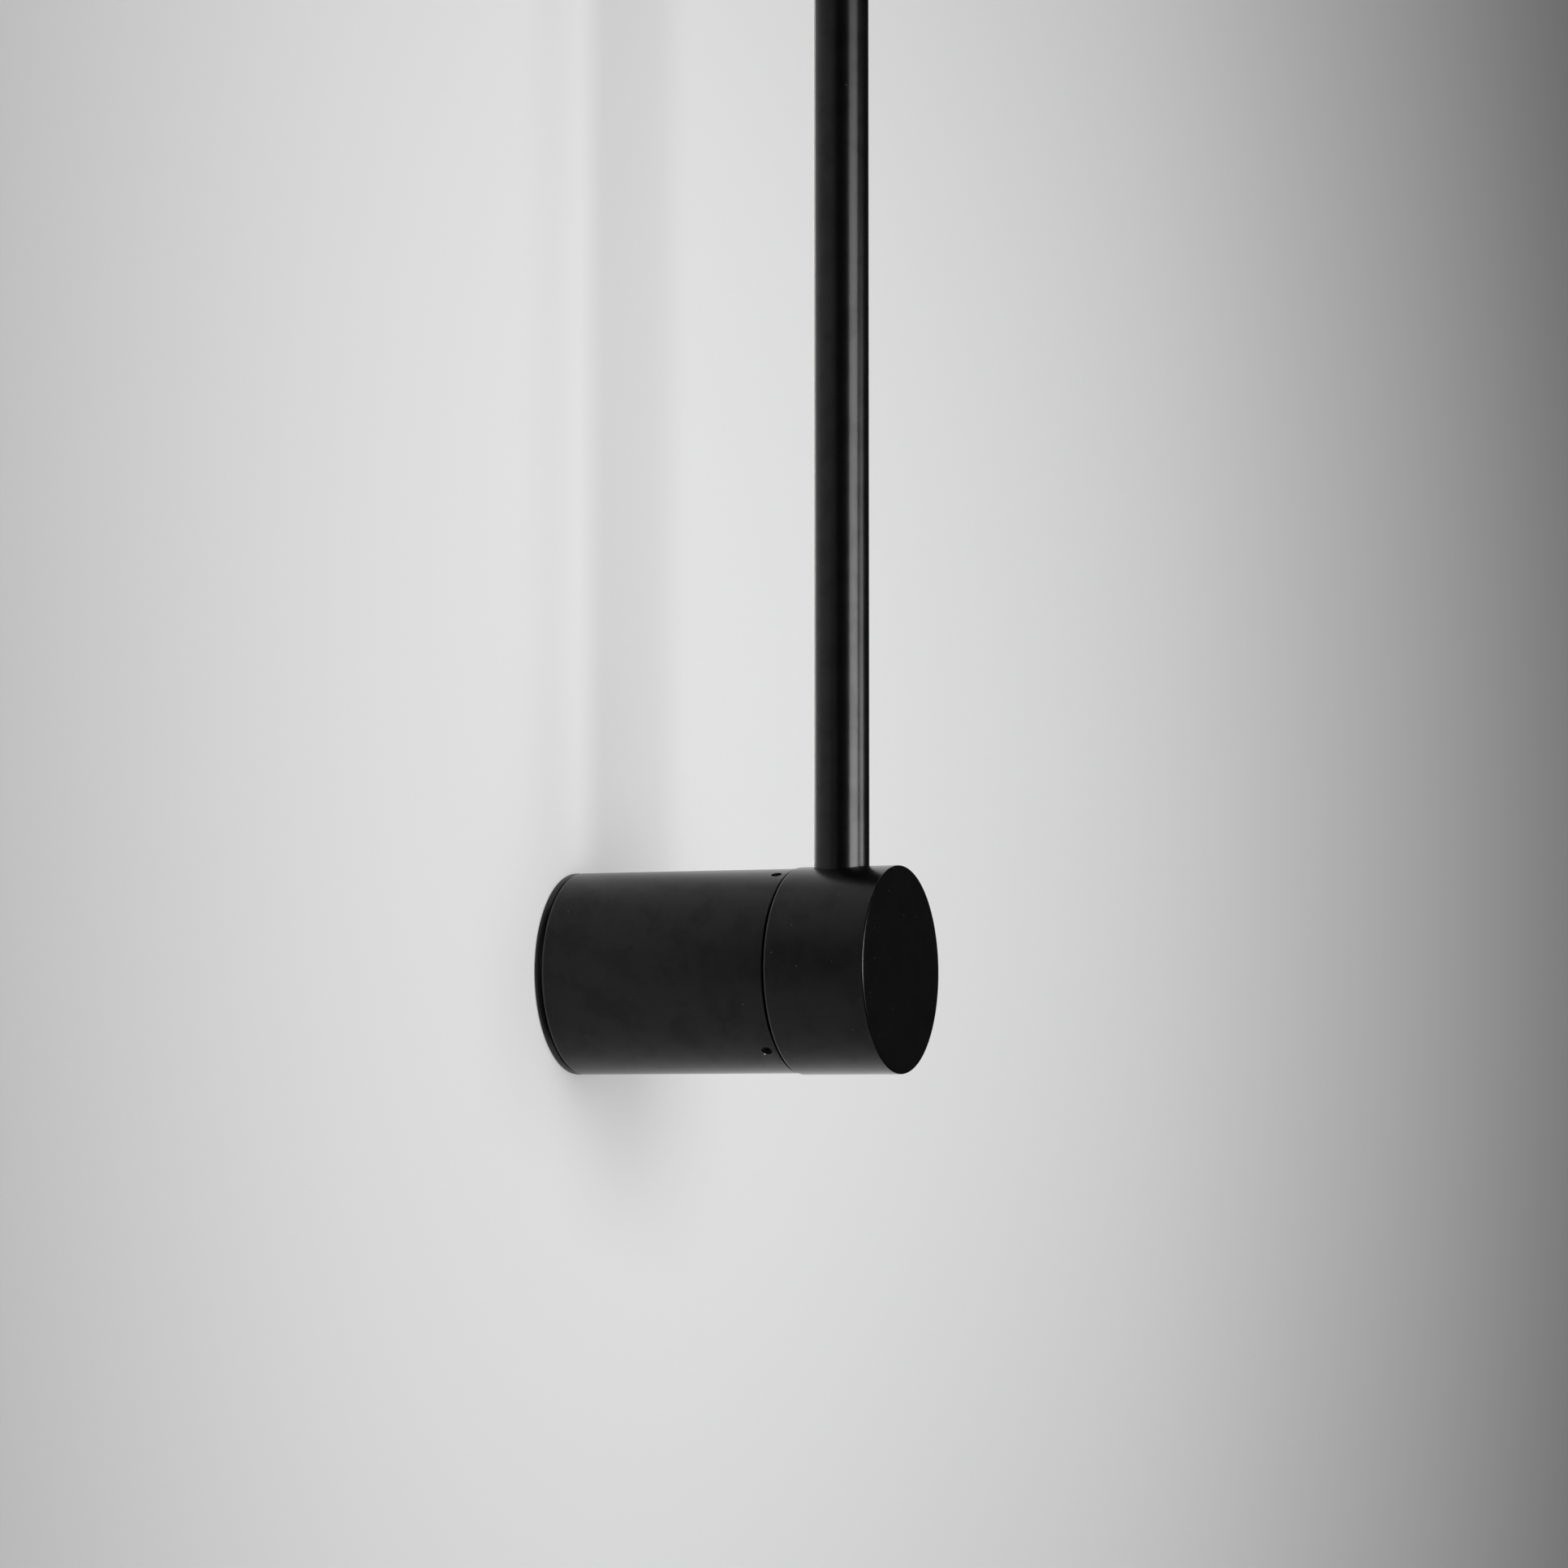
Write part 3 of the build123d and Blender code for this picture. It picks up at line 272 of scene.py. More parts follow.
wall_paint, tree = new_material("matt_wall_paint")
place = add_node(tree, "ShaderNodeTexCoord").outputs["Object"]
# the wall's colour with its painted light falloff, and for reflections the painted reflection share
tone_with_painted_light = add_node(tree, "ShaderNodeMix", {
    "Factor": 1.0, FIRST: painted_wall_falloff(tree, place), SECOND: painted_reflection_share(tree, place)},
    data_type="RGBA", blend_type="MULTIPLY").outputs[MIXED]
grain = add_node(tree, "ShaderNodeTexNoise", {
    "Vector": place, "Scale": 1 / (ROLLER_GRAIN * MM), "Detail": 2.0})
bump = add_node(tree, "ShaderNodeBump", {
    "Height": grain.outputs["Fac"], "Strength": 0.05, "Distance": ROLLER_HEIGHT * MM})
paint = add_node(tree, "ShaderNodeBsdfPrincipled", {
    "Base Color": tone_with_painted_light, "Roughness": 0.85, "Specular IOR Level": 0.1, "Normal": bump.outputs["Normal"]})
glow = add_node(tree, "ShaderNodeEmission", {"Color": tone_with_painted_light, "Strength": WALL_GLOW})
lit = add_node(tree, "ShaderNodeAddShader", {0: paint.outputs["BSDF"], 1: glow.outputs["Emission"]})
gone = add_node(tree, "ShaderNodeBsdfTransparent")
side = add_node(tree, "ShaderNodeNewGeometry")
either = add_node(tree, "ShaderNodeMixShader", {
    "Fac": side.outputs["Backfacing"], 1: lit.outputs["Shader"], 2: gone.outputs["BSDF"]})
add_node(tree, "ShaderNodeOutputMaterial", {"Surface": either.outputs["Shader"]})
wall.data.materials.append(wall_paint)
print("wall paint", len(tree.nodes), "nodes")

# %% [markdown]
# The floor lies well below the light, where the tube can't reach it when the head is turned down. It is out
# of the photograph's frame, and is there for the other views. The camera sees its pale colour as it is
# written, and reflections leave it out, because the light's sloped edges would turn pale from it.

# %% Floor
FLOOR_DROP = 800
FLOOR_SIZE = 12.0

bpy.ops.mesh.primitive_plane_add(size=FLOOR_SIZE, location=at(0, 0, -FLOOR_DROP))
floor = newest("floor")
floor_paint, tree = new_material("pale_floor_sheet")
place = add_node(tree, "ShaderNodeTexCoord").outputs["Object"]
mottle = add_node(tree, "ShaderNodeTexNoise", {"Vector": place, "Scale": 3.0, "Detail": 3.0})
tint = add_node(tree, "ShaderNodeMix", {
    "Factor": mottle.outputs["Fac"], FIRST: linear("#dcdcdd"), SECOND: linear("#e4e4e5")}, data_type="RGBA")
sheet = add_node(tree, "ShaderNodeBsdfPrincipled", {"Base Color": tint.outputs[MIXED], "Roughness": 0.8})
pale = add_node(tree, "ShaderNodeEmission", {"Color": tint.outputs[MIXED]})
path = add_node(tree, "ShaderNodeLightPath")
either = add_node(tree, "ShaderNodeMixShader", {
    "Fac": path.outputs["Is Camera Ray"], 1: sheet.outputs["BSDF"], 2: pale.outputs["Emission"]})
add_node(tree, "ShaderNodeOutputMaterial", {"Surface": either.outputs["Shader"]})
floor.data.materials.append(floor_paint)
floor.visible_glossy = False
print("floor", FLOOR_DROP, "mm below the axis")

# %% [markdown]
# The studio is dark apart from the lamps, and that darkness is what makes the front of the head and the
# middle of the tube so black. A curtain of dark cloth stands in a half circle round the room side. It is far
# taller than a real one, above and below, so that the sloped edges mirror nothing else. Only reflections see
# it, so it neither fills the view nor holds light back. It is half a cylinder without ends.

# %% Dark curtain
CURTAIN_RADIUS = 3.6
CURTAIN_HEIGHT = 28.0
CUT_Y = -0.02  # metres; the half on the wall's side of this is cut away

bpy.ops.mesh.primitive_cylinder_add(vertices=64, radius=CURTAIN_RADIUS, depth=CURTAIN_HEIGHT,
                                    end_fill_type="NOTHING", location=(0, 0, 0))
curtain = newest("black_curtain")
bpy.ops.object.mode_set(mode="EDIT")
bpy.ops.mesh.select_all(action="SELECT")
bpy.ops.mesh.bisect(plane_co=(0, CUT_Y, 0), plane_no=(0, 1, 0), clear_outer=True)
bpy.ops.object.mode_set(mode="OBJECT")
cloth, tree = new_material("black_molton")
place = add_node(tree, "ShaderNodeTexCoord").outputs["Object"]
# painted shade of folds: the cloth's grey turns darker and lighter in waves
painted_fold_shade = add_node(tree, "ShaderNodeTexWave", {"Vector": place, "Scale": 1.2, "Distortion": 1.5})
shade = add_node(tree, "ShaderNodeMix", {
    "Factor": painted_fold_shade.outputs["Fac"], FIRST: linear("#424242"), SECOND: linear("#4c4c4c")}, data_type="RGBA")
molton = add_node(tree, "ShaderNodeBsdfPrincipled", {
    "Base Color": shade.outputs[MIXED], "Roughness": 1.0, "Specular IOR Level": 0.0})
add_node(tree, "ShaderNodeOutputMaterial", {"Surface": molton.outputs["BSDF"]})
curtain.data.materials.append(cloth)
curtain.visible_camera = curtain.visible_diffuse = False
curtain.visible_transmission = curtain.visible_shadow = False
print("curtain", len(curtain.data.polygons), "faces")

# %% [markdown]
# A broad softbox stands in front of the wall, a little to the left, and a smaller one to the right. The left
# one puts the tube's soft shadow to the right of its foot. Reflections don't see the softboxes. A wide, weak
# lamp behind the wall stands for the light that the wall throws back at the parts that face it.

# %% Softboxes
LAMP_DISTANCE = 1.12  # metres from the tube
TUBE_AXIS = (0, -0.0852)


def softbox(name, bearing, height, size, radiance, distance=LAMP_DISTANCE):
    """A flat lamp that faces the tube's axis. The bearing is in degrees from +X, sizes are in metres."""
    a = math.radians(bearing)
    place = Vector((TUBE_AXIS[0] + distance * math.cos(a), TUBE_AXIS[1] + distance * math.sin(a), height))
    bpy.ops.object.light_add(type="AREA", location=place)
    lamp = bpy.context.active_object
    lamp.name = name
    aim = Vector((*TUBE_AXIS, height)) - place
    lamp.rotation_euler = aim.to_track_quat("-Z", "Y").to_euler()
    lamp.data.shape = "RECTANGLE"
    lamp.data.size, lamp.data.size_y = size
    lamp.data.energy = radiance * math.pi * size[0] * size[1]
    lamp.visible_camera = lamp.visible_glossy = False
    print(name, [round(c, 2) for c in place], "power", round(lamp.data.energy, 2))
    return lamp


softbox("left_softbox", bearing=247.5, height=0.14, size=(0.68, 0.90), radiance=4.3)
softbox("right_softbox", bearing=283, height=0.05, size=(0.30, 0.46), radiance=2.6)
softbox("wall_bounce", bearing=90, height=0.3, size=(2.4, 2.4), radiance=1.35, distance=1.4)

# %% [markdown]
# A coat as dark as this mirrors only a fiftieth of what it sees. So the two bright bands on the tube come
# from two reflector cards that only reflections see. Both are brighter at the foot, as the bands are.

# %% Reflector cards
def card(name, bearing, middle, size, foot, head):
    """A card whose brightness runs from its lower to its upper edge."""
    lamp = softbox(name, bearing, middle, size, 1.0)
    lamp.visible_glossy, lamp.visible_diffuse = True, False
    lamp.data.use_nodes = True
    tree = lamp.data.node_tree
    tree.nodes.clear()
    surface = add_node(tree, "ShaderNodeNewGeometry")
    spot = add_node(tree, "ShaderNodeSeparateXYZ", {"Vector": surface.outputs["Parametric"]})
    level = add_node(tree, "ShaderNodeMapRange", {"Value": spot.outputs["Y"], "To Min": foot, "To Max": head})
    glow = add_node(tree, "ShaderNodeEmission", {"Strength": level.outputs["Result"]})
    add_node(tree, "ShaderNodeOutputLight", {"Surface": glow.outputs["Emission"]})


card("left_card", bearing=253.2, middle=0.24, size=(0.738, 0.68), foot=16.4, head=3.5)
card("right_card", bearing=292, middle=0.16, size=(0.40, 0.52), foot=12.6, head=0.0)

# %% [markdown]
# The world is a plain pale backdrop for the camera, for reflections and for what is seen through things, and
# a weak even light for everything else.

# %% World
BACKDROP = "#e6e6e8"
AMBIENT = 0.22

world = bpy.data.worlds.new("studio")
bpy.context.scene.world = world
world.use_nodes = True
world.cycles.sampling_method = "NONE"
tree = world.node_tree
tree.nodes.clear()
path = add_node(tree, "ShaderNodeLightPath")
seen = path.outputs["Is Camera Ray"]
for ray in ("Is Glossy Ray", "Is Transmission Ray"):
    seen = add_node(tree, "ShaderNodeMath", {0: seen, 1: path.outputs[ray]}, operation="MAXIMUM").outputs[0]
ambient = add_node(tree, "ShaderNodeBackground", {"Color": linear("#ffffff"), "Strength": AMBIENT})
backdrop = add_node(tree, "ShaderNodeBackground", {"Color": linear(BACKDROP), "Strength": 1.0})
choice = add_node(tree, "ShaderNodeMixShader", {"Fac": seen, 1: ambient.outputs[0], 2: backdrop.outputs[0]})
add_node(tree, "ShaderNodeOutputWorld", {"Surface": choice.outputs[0]})
bpy.context.scene.view_settings.view_transform = "Standard"
print("ambient", AMBIENT)

# %% [markdown]
# ## Finishes
#
# The visible metal of such a light is powder coated: a black polyester powder is baked to a film about 0.07
# mm thick. It is satin, not matt, so it mirrors the wall softly along its edges, and its surface is very
# finely uneven. Wear comes first. Specks of dust come from a cell texture: one speck at most in each cell,
# and only in some cells. The back rims of drum and head are rubbed to a shine, which the distance to two
# circles gives. Beside the lower grub hole a pale spot is a painted glint on the hole's rim.

# %% Dust, rubbed rims and a painted glint
SPECK_SPACING, SPECK_RADIUS = 3.0, 0.15  # millimetres
SPECK_LOT = 0.62  # only a cell whose lot is above this has a speck
CORE = 0.6  # share of a speck's radius that is fully covered
DUST = "#6b6a68"
SHINY_EDGES = [(30.0, 2.4), (30.4, 73.0)]  # radius and depth
RUB_REACH, RUB_SHINE = (0.3, 0.6), 0.3  # millimetres; the gloss that rubbing adds
# a painted glint: a pale spot on the rim of the lower grub hole
GLINT_PLACE, GLINT_R, GLINT_CORE, GLINT_TONE = (-17.2, 67.9, -24.5), 0.36, 0.8, "#c4c4c4"  # the place is x, depth, z


def dusty(tree, place, colour):
    """The colour with specks of dust on it."""
    cells = add_node(tree, "ShaderNodeTexVoronoi", {"Vector": place, "Scale": 1 / (SPECK_SPACING * MM)})
    near = add_node(tree, "ShaderNodeMapRange", {
        "Value": cells.outputs["Distance"], "From Min": CORE * SPECK_RADIUS / SPECK_SPACING,
        "From Max": SPECK_RADIUS / SPECK_SPACING, "To Min": 1.0, "To Max": 0.0})
    lot = add_node(tree, "ShaderNodeSeparateColor", {"Color": cells.outputs["Color"]})
    some = add_node(tree, "ShaderNodeMath", {0: lot.outputs["Red"], 1: SPECK_LOT}, operation="GREATER_THAN")
    speck = add_node(tree, "ShaderNodeMath", {0: near.outputs["Result"], 1: some.outputs[0]},
                     operation="MULTIPLY")
    return add_node(tree, "ShaderNodeMix", {"Factor": speck.outputs[0], FIRST: colour, SECOND: linear(DUST)},
                    data_type="RGBA").outputs[MIXED]


def with_painted_glint(tree, place, colour):
    """The colour with the painted glint in it: a pale spot beside the lower grub hole."""
    distance = add_node(tree, "ShaderNodeVectorMath", {0: place, 1: at(*GLINT_PLACE)}, operation="DISTANCE")
    glint = add_node(tree, "ShaderNodeMapRange", {
        "Value": distance.outputs["Value"], "From Min": GLINT_CORE * GLINT_R * MM, "From Max": GLINT_R * MM,
        "To Min": 1.0, "To Max": 0.0})
    return add_node(tree, "ShaderNodeMix", {"Factor": glint.outputs["Result"], FIRST: colour,
                                            SECOND: linear(GLINT_TONE)}, data_type="RGBA").outputs[MIXED]


def rubbed(tree, place):
    """The gloss that the rubbed rims have more than the rest."""
    flat = add_node(tree, "ShaderNodeVectorMath", {0: place, 1: (1, 0, 1)}, operation="MULTIPLY")
    radius = add_node(tree, "ShaderNodeVectorMath", {0: flat.outputs["Vector"]}, operation="LENGTH")
    y = add_node(tree, "ShaderNodeSeparateXYZ", {"Vector": place}).outputs["Y"]
    section = add_node(tree, "ShaderNodeCombineXYZ", {"X": radius.outputs["Value"], "Y": y}).outputs["Vector"]
    first, second = [add_node(tree, "ShaderNodeVectorMath", {0: section, 1: at(*edge, 0)},
                              operation="DISTANCE").outputs["Value"] for edge in SHINY_EDGES]
    nearest = add_node(tree, "ShaderNodeMath", {0: first, 1: second}, operation="MINIMUM")
    return add_node(tree, "ShaderNodeMapRange", {
        "Value": nearest.outputs[0], "From Min": RUB_REACH[0] * MM, "From Max": RUB_REACH[1] * MM,
        "To Min": RUB_SHINE, "To Max": 0.0}).outputs["Result"]


print("a speck's cell is", SPECK_SPACING, "mm, rubbed rims", len(SHINY_EDGES))

# %% [markdown]
# The coat itself is two near blacks. Handling leaves patches that are slightly duller or glossier, and one
# slow noise gives them all: it picks the black, the roughness and the gloss. The fine grain is bump alone.

# %% Satin black powder coat
COAT_GRAIN = 0.45  # millimetres; the real one is half as coarse, too fine for the picture
GRAIN_HEIGHT = 0.02
PATCH = 8.0  # millimetres
BLACK_REACH = (0.35, 0.7)  # of the patches' noise, from the deep black to the worn one
ROUGH_REACH, ROUGH_SHIFT = (0.3, 0.7), (-0.012, 0.018)
GLOSS_REACH, GLOSS_SHIFT = (0.38, 0.54), (-0.035, 0.01)


def powder_coat(name, deep, worn, roughness, specular):
    """Satin powder coat: two near blacks, patches of handling, a fine grain and its wear."""
    material, tree = new_material(name)
    place = add_node(tree, "ShaderNodeTexCoord").outputs["Object"]
    patches = add_node(tree, "ShaderNodeTexNoise", {
        "Vector": place, "Scale": 1 / (PATCH * MM), "Detail": 4.0, "Roughness": 0.6, "Distortion": 0.4})
    handled = patches.outputs["Fac"]
    black = add_node(tree, "ShaderNodeMapRange", {
        "Value": handled, "From Min": BLACK_REACH[0], "From Max": BLACK_REACH[1]})
    colour = add_node(tree, "ShaderNodeMix", {
        "Factor": black.outputs["Result"], FIRST: linear(deep), SECOND: linear(worn)}, data_type="RGBA")
    rough = add_node(tree, "ShaderNodeMapRange", {
        "Value": handled, "From Min": ROUGH_REACH[0], "From Max": ROUGH_REACH[1],
        "To Min": roughness + ROUGH_SHIFT[0], "To Max": roughness + ROUGH_SHIFT[1]})
    greasy = add_node(tree, "ShaderNodeMapRange", {
        "Value": handled, "From Min": GLOSS_REACH[0], "From Max": GLOSS_REACH[1],
        "To Min": specular + GLOSS_SHIFT[0], "To Max": specular + GLOSS_SHIFT[1]})
    shine = add_node(tree, "ShaderNodeMath", {0: greasy.outputs["Result"], 1: rubbed(tree, place)})
    grain = add_node(tree, "ShaderNodeTexNoise", {
        "Vector": place, "Scale": 1 / (COAT_GRAIN * MM), "Detail": 2.0})
    bump = add_node(tree, "ShaderNodeBump", {
        "Height": grain.outputs["Fac"], "Strength": 0.10, "Distance": GRAIN_HEIGHT * MM})
    shader = add_node(tree, "ShaderNodeBsdfPrincipled", {
        "Base Color": with_painted_glint(tree, place, dusty(tree, place, colour.outputs[MIXED])),
        "Roughness": rough.outputs["Result"], "IOR": 1.5, "Specular IOR Level": shine.outputs[0],
        "Normal": bump.outputs["Normal"]})
    add_node(tree, "ShaderNodeOutputMaterial", {"Surface": shader.outputs["BSDF"]})
    return material


MATERIALS = {
    "black_aluminium": powder_coat("satin_black_powder_coat", "#080809", "#0a0a0b", 0.24, 0.25),
    "black_steel": powder_coat("satin_black_plate_coat", "#080809", "#0a0a0b", 0.30, 0.38),
}
print("coats", len(MATERIALS))

# %% [markdown]
# Everything else on the light is an ordinary engineering material. Its look comes from how it was made: a
# cast skin, a drawn wire, a rolled sheet, a moulded grain. One recipe covers them: two tones mixed by a fine
# grain, a slow stain over it, and the same grain as bump. The grain's size is in millimetres along x, depth
# and z, so a drawn part gets long streaks, and a moulded one gets even grain.

# %% The recipe for metals and plastics
STAIN = 6.0  # millimetres
TONE_REACH = (0.12, 0.40)  # of grain times stain, from the dark tone to the pale one
GRAIN_REACH = (0.3, 0.7)


def grained(name, pale, dark, grain, roughness, bump_height, metallic=0.0, specular=0.5, **more):
    """A material whose colour, gloss and bump follow a grain of a real size (x, depth, z in millimetres)."""
    material, tree = new_material(name)
    place = add_node(tree, "ShaderNodeTexCoord").outputs["Object"]
    scaled = add_node(tree, "ShaderNodeMapping", {"Vector": place, "Scale": [1 / (g * MM) for g in grain]})
    fine = add_node(tree, "ShaderNodeTexNoise", {"Vector": scaled.outputs["Vector"], "Scale": 1.0,
                                                 "Detail": 3.0}).outputs["Fac"]
    slow = add_node(tree, "ShaderNodeTexNoise", {"Vector": place, "Scale": 1 / (STAIN * MM), "Detail": 2.0})
    both = add_node(tree, "ShaderNodeMath", {0: fine, 1: slow.outputs["Fac"]}, operation="MULTIPLY")
    share = add_node(tree, "ShaderNodeMapRange", {"Value": both.outputs[0], "From Min": TONE_REACH[0],
                                                  "From Max": TONE_REACH[1]})
    colour = add_node(tree, "ShaderNodeMix", {
        "Factor": share.outputs["Result"], FIRST: linear(dark), SECOND: linear(pale)}, data_type="RGBA")
    gloss = add_node(tree, "ShaderNodeMapRange", {
        "Value": fine, "From Min": GRAIN_REACH[0], "From Max": GRAIN_REACH[1], "To Min": roughness[1],
        "To Max": roughness[0]})
    bump = add_node(tree, "ShaderNodeBump", {"Height": fine, "Strength": 0.3, "Distance": bump_height * MM})
    inputs = {"Base Color": colour.outputs[MIXED], "Roughness": gloss.outputs["Result"],
              "Metallic": metallic, "Normal": bump.outputs["Normal"], **more}
    if metallic == 0:
        inputs["Specular IOR Level"] = specular
    shader = add_node(tree, "ShaderNodeBsdfPrincipled", inputs)
    add_node(tree, "ShaderNodeOutputMaterial", {"Surface": shader.outputs["BSDF"]})
    return material


# %% [markdown]
# The metals differ in tone, in gloss and in grain, as they are plated, tempered, cast, drawn or stamped.

# %% Metals
MATERIALS.update({
    # Grub screws: hardened steel, blackened in hot oxide, slightly oily. The oxide skin isn't metallic.
    "black_oxide_steel": grained("black_oxide_steel", "#0d0c0c", "#060606", (0.3, 0.3, 0.3), (0.45, 0.6),
                                 0.01, specular=0.1),
    # Screws, nuts and bracket: bright zinc plate with its bluish cast.
    "zinc_steel": grained("bright_zinc_plate", "#c9ccd0", "#979ca3", (0.25, 0.9, 0.25), (0.22, 0.38), 0.01,
                          metallic=1.0),
    # Disc spring: hardened strip, brown from tempering.
    "spring_steel": grained("tempered_spring_strip", "#8d857b", "#5c554e", (0.2, 0.2, 0.2), (0.25, 0.4), 0.01,
                            metallic=1.0),
    # Bulkhead and back disc: die casting with a fine orange skin.
    "cast_aluminium": grained("die_cast_aluminium", "#b9babb", "#8b8c8e", (0.5, 0.5, 0.5), (0.42, 0.6), 0.05,
                              metallic=1.0),
    # Terminal screws and stem: brass turned from drawn bar, with the bar's fine streaks along the stem.
    "brass": grained("turned_brass", "#d9b56a", "#a9843f", (0.15, 1.2, 0.15), (0.2, 0.36), 0.01,
                     metallic=1.0),
    # Lug: stamped copper under dull tin.
    "tinned_copper": grained("tinned_copper", "#cfcfca", "#a3a29b", (0.3, 0.3, 0.3), (0.32, 0.5), 0.01,
                             metallic=1.0),
})
print("finishes", len(MATERIALS))

# %% [markdown]
# Rubber and plastics take the same recipe, with two tones that lie close together. Natural acetal and opal
# acrylic let light in by a millimetre or two, which subsurface scattering gives.

# %% Rubber and plastics
def cloudy(weight, radius):
    """Shader inputs for a plastic that light goes into; the radius is in millimetres for each colour."""
    return {"Subsurface Weight": weight, "Subsurface Scale": 1.0,
            "Subsurface Radius": [r * MM for r in radius]}


MATERIALS.update({
    # Grommet: moulded rubber with a bloom of wax.
    "grommet_rubber": grained("moulded_rubber", "#2a2a2b", "#161617", (0.4, 0.4, 0.4), (0.6, 0.8), 0.03),
    # Thrust washers: natural acetal, waxy and slightly see-through.
    "acetal": grained("natural_acetal", "#efece2", "#dcd8ca", (0.8, 0.8, 0.8), (0.32, 0.42), 0.01,
                      **cloudy(0.2, (0.8, 0.8, 0.6))),
    # Terminal block: white polyamide with a spark-eroded mould grain.
    "terminal_plastic": grained("white_polyamide", "#e6e4dc", "#d2cfc4", (0.35, 0.35, 0.35), (0.45, 0.6),
                                0.03),
    # Driver case: grey-white polycarbonate, finely grained.
    "driver_plastic": grained("grained_polycarbonate", "#d8d9da", "#c3c4c6", (0.4, 0.4, 0.4), (0.4, 0.55),
                              0.03),
    # Core insulation: extruded PVC, glossy along its length.
    "brown_insulation": grained("brown_pvc", "#6d4127", "#4f2d1a", (2.0, 0.5, 0.5), (0.3, 0.42), 0.01),
    "blue_insulation": grained("blue_pvc", "#2c5f9e", "#1f4779", (2.0, 0.5, 0.5), (0.3, 0.42), 0.01),
    "red_insulation": grained("red_pvc", "#a12a24", "#7a1d19", (0.5, 0.5, 2.0), (0.3, 0.42), 0.01),
    # Output lead: matt white sheath.
    "lead_sheath": grained("white_pvc_sheath", "#e2e1dd", "#c9c8c3", (0.5, 2.0, 0.5), (0.4, 0.55), 0.02),
    # Opal cover: extruded acrylic that scatters light inside; faint lines run along it from the die.
    "opal_cover": grained("opal_acrylic", "#f1f0ec", "#e6e5e0", (0.5, 0.5, 60.0), (0.24, 0.34), 0.01,
                          **cloudy(0.35, (1.6, 1.6, 1.3))),
})
print("finishes", len(MATERIALS))

# %% [markdown]
# Three finishes need a pattern of their own. The earth core is green with a yellow stripe that winds round
# it. The board is white solder mask with two copper tracks under it. Each chip has a yellow phosphor window
# in a white frame, and as the chips are evenly spaced, a wrapped coordinate finds the window of each.

# %% Patterns of two colours
PATTERN_GRAIN, GLOSS_SPREAD, EDGE_STEP = 0.4, 0.08, 0.03  # the grain and the step at an edge in millimetres
STRIPE_PITCH, STRIPE_SHARE = 10.0, 0.62
WAVE = 0.62  # metres that a diagonal wave of scale 1 is long along x


def two_tone(name, first, second, mask_of, roughness):
    """A material of two colours. mask_of builds the mask from the tree and the Object coordinates."""
    material, tree = new_material(name)
    place = add_node(tree, "ShaderNodeTexCoord").outputs["Object"]
    mask = mask_of(tree, place)
    grain = add_node(tree, "ShaderNodeTexNoise", {"Vector": place, "Scale": 1 / (PATTERN_GRAIN * MM),
                                                  "Detail": 2.0})
    colour = add_node(tree, "ShaderNodeMix", {"Factor": mask, FIRST: linear(first), SECOND: linear(second)},
                      data_type="RGBA")
    gloss = add_node(tree, "ShaderNodeMapRange", {
        "Value": grain.outputs["Fac"], "To Min": roughness - GLOSS_SPREAD,
        "To Max": roughness + GLOSS_SPREAD})
    bump = add_node(tree, "ShaderNodeBump", {"Height": mask, "Strength": 0.4, "Distance": EDGE_STEP * MM})
    shader = add_node(tree, "ShaderNodeBsdfPrincipled", {
        "Base Color": colour.outputs[MIXED], "Roughness": gloss.outputs["Result"],
        "Specular IOR Level": 0.5, "Normal": bump.outputs["Normal"]})
    add_node(tree, "ShaderNodeOutputMaterial", {"Surface": shader.outputs["BSDF"]})
    return material


def stripe(tree, place):
    """Slanting bands, which wind round the core as it runs along x."""
    bands = add_node(tree, "ShaderNodeTexWave", {"Vector": place, "Scale": WAVE / (STRIPE_PITCH * MM)},
                     bands_direction="DIAGONAL")
    return add_node(tree, "ShaderNodeMath", {0: bands.outputs["Fac"], 1: STRIPE_SHARE},
                    operation="GREATER_THAN").outputs[0]


MATERIALS["green_insulation"] = two_tone("green_yellow_pvc", "#1f7a35", "#d8c21f", stripe, 0.38)
print("stripe every", STRIPE_PITCH, "mm")

# %% [markdown]
# Tracks and windows are where a coordinate is near a middle line. The board runs up the tube, so x goes
# across it and z along it.

# %% Board and chips
CHIP_PITCH, CHIP_MIDDLE = 16.6, 298.8
WINDOW_X, WINDOW_Z = 1.0, 1.35
TRACK_X, TRACK_HALF_W = 2.6, 0.5


def near_zero(tree, value, half_width):
    """1 where the value is within half a width of zero."""
    size = add_node(tree, "ShaderNodeMath", {0: value}, operation="ABSOLUTE")
    near = add_node(tree, "ShaderNodeMath", {0: size.outputs[0], 1: half_width * MM}, operation="LESS_THAN")
    return near.outputs[0]


def tracks(tree, place):
    """Two copper tracks, one each side of the chips."""
    x = add_node(tree, "ShaderNodeSeparateXYZ", {"Vector": place}).outputs["X"]
    side = add_node(tree, "ShaderNodeMath", {0: x}, operation="ABSOLUTE")
    off = add_node(tree, "ShaderNodeMath", {0: side.outputs[0], 1: TRACK_X * MM}, operation="SUBTRACT")
    return near_zero(tree, off.outputs[0], TRACK_HALF_W)


def windows(tree, place):
    """The phosphor window of every chip."""
    parts = add_node(tree, "ShaderNodeSeparateXYZ", {"Vector": place})
    half = CHIP_PITCH * MM / 2
    off = add_node(tree, "ShaderNodeMath", {0: parts.outputs["Z"], 1: CHIP_MIDDLE * MM}, operation="SUBTRACT")
    wrapped = add_node(tree, "ShaderNodeMath", {0: off.outputs[0], 1: half, 2: -half}, operation="WRAP")
    across = near_zero(tree, parts.outputs["X"], WINDOW_X)
    along = near_zero(tree, wrapped.outputs[0], WINDOW_Z)
    return add_node(tree, "ShaderNodeMath", {0: across, 1: along}, operation="MULTIPLY").outputs[0]


